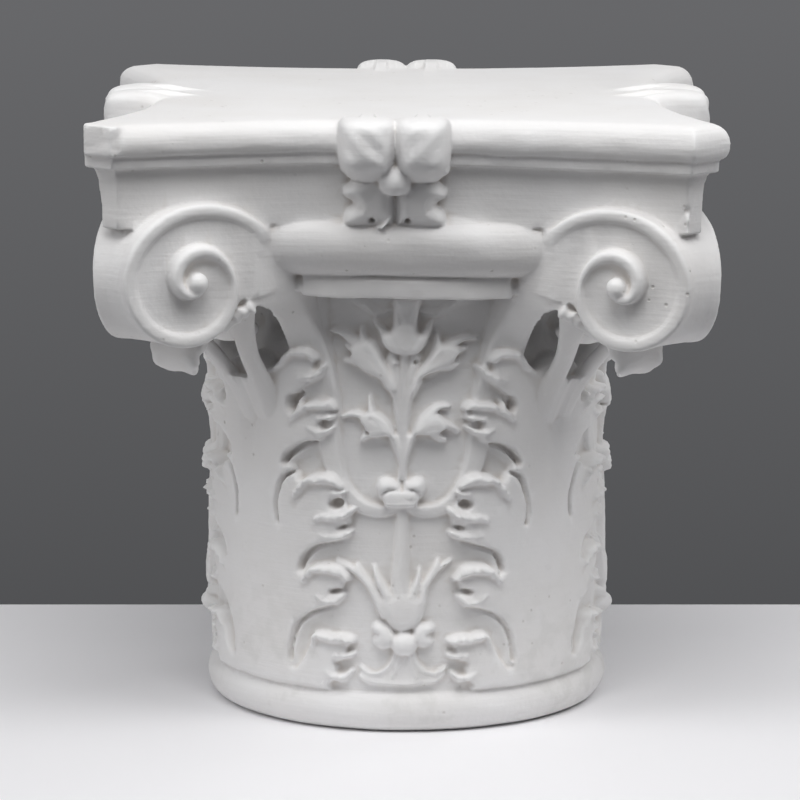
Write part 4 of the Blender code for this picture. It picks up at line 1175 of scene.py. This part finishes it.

# The plaster: matt white, with warm painted shade in its recesses, darker the deeper they lie, and
# grey marks low on one side.
CLEAN = (0.815, 0.808, 0.805, 1.0)
CLOUDED = (0.775, 0.762, 0.750, 1.0)
# The next two colours are painted shade for the recesses, the second for the deepest of them.
PAINTED_SHADE = (0.560, 0.510, 0.460, 1.0)
PAINTED_DEEP_SHADE = (0.260, 0.215, 0.175, 1.0)
RUBBED = (0.860, 0.858, 0.855, 1.0)
STAINED = (0.500, 0.500, 0.470, 1.0)
PITTED = (0.450, 0.420, 0.390, 1.0)


class Socket:
    """A socket whose sums and products add Math nodes."""

    def __init__(self, tree, socket):
        self.tree = tree
        self.socket = socket

    def math(self, operation, *values):
        node = self.tree.nodes.new("ShaderNodeMath")
        node.operation = operation
        for index, value in enumerate((self,) + values):
            if isinstance(value, Socket):
                self.tree.links.new(value.socket, node.inputs[index])
            else:
                node.inputs[index].default_value = value
        return Socket(self.tree, node.outputs[0])

    def __add__(self, other):
        return self.math("ADD", other)

    def __mul__(self, other):
        return self.math("MULTIPLY", other)

    def __sub__(self, other):
        return self.math("SUBTRACT", other)

    def __rsub__(self, other):
        return (self * -1.0) + other

    __radd__ = __add__
    __rmul__ = __mul__

    def node(self, kind, settings, **values):
        """Add any other node; its settings are set first, then its sockets."""
        node = self.tree.nodes.new(kind)
        for name, value in settings.items():
            setattr(node, name, value)
        for name, value in values.items():
            target = node.inputs[name.replace("_", " ")]
            if isinstance(value, Socket):
                self.tree.links.new(value.socket, target)
            else:
                target.default_value = value
        return node


plaster = bpy.data.materials.new("white_plaster")
plaster.use_nodes = True
tree = plaster.node_tree
shader = tree.nodes["Principled BSDF"]
shader.inputs["Specular IOR Level"].default_value = 0.35
blank = Socket(tree, None)


def texture(kind, output, stretch=(1, 1, 1), **values):
    """One value of a texture over the piece's own coordinates, stretched along x, y and z."""
    place = Socket(tree, blank.node("ShaderNodeTexCoord", {}).outputs["Object"])
    mapped = blank.node("ShaderNodeMapping", {}, Vector=place, Scale=stretch).outputs["Vector"]
    return Socket(tree, blank.node(kind, {}, Vector=Socket(tree, mapped), **values).outputs[output])


def spread(value, low, high):
    """A value brought from between low and high to between 0 and 1."""
    ranged = blank.node("ShaderNodeMapRange", {"clamp": True}, Value=value, From_Min=low,
                        From_Max=high)
    return Socket(tree, ranged.outputs["Result"])


def blend(share, first, second):
    """Mix two colours by a share."""
    mix = blank.node("ShaderNodeMix", {"data_type": "RGBA"})
    tree.links.new(share.socket, mix.inputs["Factor"])
    for target, colour in ((mix.inputs[6], first), (mix.inputs[7], second)):
        if isinstance(colour, Socket):
            tree.links.new(colour.socket, target)
        else:
            target.default_value = colour
    return Socket(tree, mix.outputs[2])


hollow = Socket(tree, blank.node("ShaderNodeAttribute", {"attribute_name": "recess"}).outputs["Fac"])
cloud = texture("ShaderNodeTexNoise", "Fac", Scale=11.0, Detail=4.0)
grain = texture("ShaderNodeTexNoise", "Fac", Scale=240.0, Detail=5.0)
lumps = texture("ShaderNodeTexNoise", "Fac", Scale=60.0, Detail=3.0)
streaks = texture("ShaderNodeTexNoise", "Fac", (22, 22, 330), Scale=1.0, Detail=4.0)
bubbles = texture("ShaderNodeTexVoronoi", "Distance", Scale=75.0)
pits = (1.0 - spread(bubbles, 0.05, 0.13)) * spread(cloud, 0.50, 0.62)
height = texture("ShaderNodeSeparateXYZ", "Z")

paint = blend(spread(cloud, 0.35, 0.70), CLEAN, CLOUDED)
# Painted shade: the recesses are darkened in the colour, more so where they lie deep.
paint = blend(spread(hollow, 0.30, 2.20) * 0.50, paint, PAINTED_SHADE)
paint = blend(spread(hollow, 2.00, 5.50) * 0.55, paint, PAINTED_DEEP_SHADE)
paint = blend(spread(hollow * -1.0, 0.25, 1.30) * 0.55, paint, RUBBED)
stain = spread(lumps + cloud, 1.06, 1.22) * (1.0 - spread(height, 0.05, 0.16)) * 0.18
paint = blend(stain, paint, STAINED)
paint = blend(pits * 0.5, paint, PITTED)
tree.links.new(paint.socket, shader.inputs["Base Color"])
tree.links.new((0.56 + 0.14 * grain).socket, shader.inputs["Roughness"])
relief = 0.30 * grain + 0.55 * streaks + 0.60 * lumps - 1.1 * pits
bump = blank.node("ShaderNodeBump", {}, Height=relief, Strength=0.55, Distance=0.0011)
tree.links.new(bump.outputs["Normal"], shader.inputs["Normal"])
capital.data.materials.clear()
capital.data.materials.append(plaster)

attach(capital, "root")
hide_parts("capital")

# ---------------------------------------------------------------------------------------------
# The studio: a pale table in a grey room, whose walls are darkest low down. Soft lights hang
# above and around it, and a camera with a long lens looks a little down.

deselect()
bpy.ops.mesh.primitive_plane_add(size=1.0, location=(0.0, 0.0, 0.0))
table = bpy.context.object
table.name = "table"
table.scale = (8.0, 0.683, 1.0)
table.location = (0.0, -0.0335, 0.0)
bpy.ops.object.transform_apply(location=True, scale=True)
table_paint = bpy.data.materials.new("pale_table")
table_paint.use_nodes = True
table_shader = table_paint.node_tree.nodes["Principled BSDF"]
table_shader.inputs["Base Color"].default_value = (0.875, 0.87, 0.885, 1.0)
table_shader.inputs["Roughness"].default_value = 0.6
table.data.materials.append(table_paint)

ROOM_SHADES = ((0.20, (0.083, 0.084, 0.088, 1.0)), (0.53, (0.136, 0.137, 0.143, 1.0)),
               (0.90, (0.105, 0.105, 0.112, 1.0)))

world = bpy.data.worlds.new("grey_room")
bpy.context.scene.world = world
world.use_nodes = True
room = world.node_tree
wall_node = Socket(room, None).node
around = Socket(room, wall_node("ShaderNodeTexCoord", {}).outputs["Generated"])
rise = Socket(room, wall_node("ShaderNodeSeparateXYZ", {}, Vector=around).outputs["Z"])
shade = wall_node("ShaderNodeMapRange", {}, Value=rise, From_Min=-0.30, From_Max=0.10)
shades = wall_node("ShaderNodeValToRGB", {}, Fac=Socket(room, shade.outputs["Result"]))
room.links.new(shades.outputs["Color"], room.nodes["Background"].inputs["Color"])
stops = shades.color_ramp.elements
stops.new(ROOM_SHADES[2][0])
for stop, (place, colour) in zip(stops, ROOM_SHADES):
    stop.position = place
    stop.color = colour

LIGHT_AIM = (0.0, 0.0, 0.3)
LIGHTS = (
    # name, place, size, power
    ("top_light", (0.0, -0.3, 2.7), 1.4, 3.0),
    ("front_top_light", (0.0, -1.3, 2.4), 1.4, 35.4),
    ("left_top_light", (-1.6, -0.8, 2.2), 1.2, 11.8),
    ("right_top_light", (1.6, -0.8, 2.2), 1.2, 19.7),
    ("left_light", (-2.6, -1.0, 1.2), 1.2, 8.2),
    ("front_left_light", (-1.6, -2.6, 1.3), 1.2, 3.4),
    ("right_back_light", (2.2, 1.2, 1.5), 1.2, 10.0),
    ("left_back_light", (-2.2, 1.2, 1.5), 1.2, 2.4),
)
for name, place, size, power in LIGHTS:
    light = bpy.data.lights.new(name, "AREA")
    light.energy = power
    light.size = size
    lamp = bpy.data.objects.new(name, light)
    lamp.location = place
    lamp.rotation_euler = (Vector(LIGHT_AIM) - Vector(place)).to_track_quat("-Z", "Y").to_euler()
    bpy.context.scene.collection.objects.link(lamp)
bpy.context.scene.view_settings.view_transform = "Standard"

camera = bpy.data.cameras.new("camera")
camera.lens = 199.2
camera.sensor_width = 36.0
camera_mount = bpy.data.objects.new("camera", camera)
camera_mount.location = (-0.0055, -3.618, 0.888)
camera_mount.rotation_euler = (math.radians(79.9), 0.0, 0.0)
bpy.context.scene.collection.objects.link(camera_mount)
bpy.context.scene.camera = camera_mount
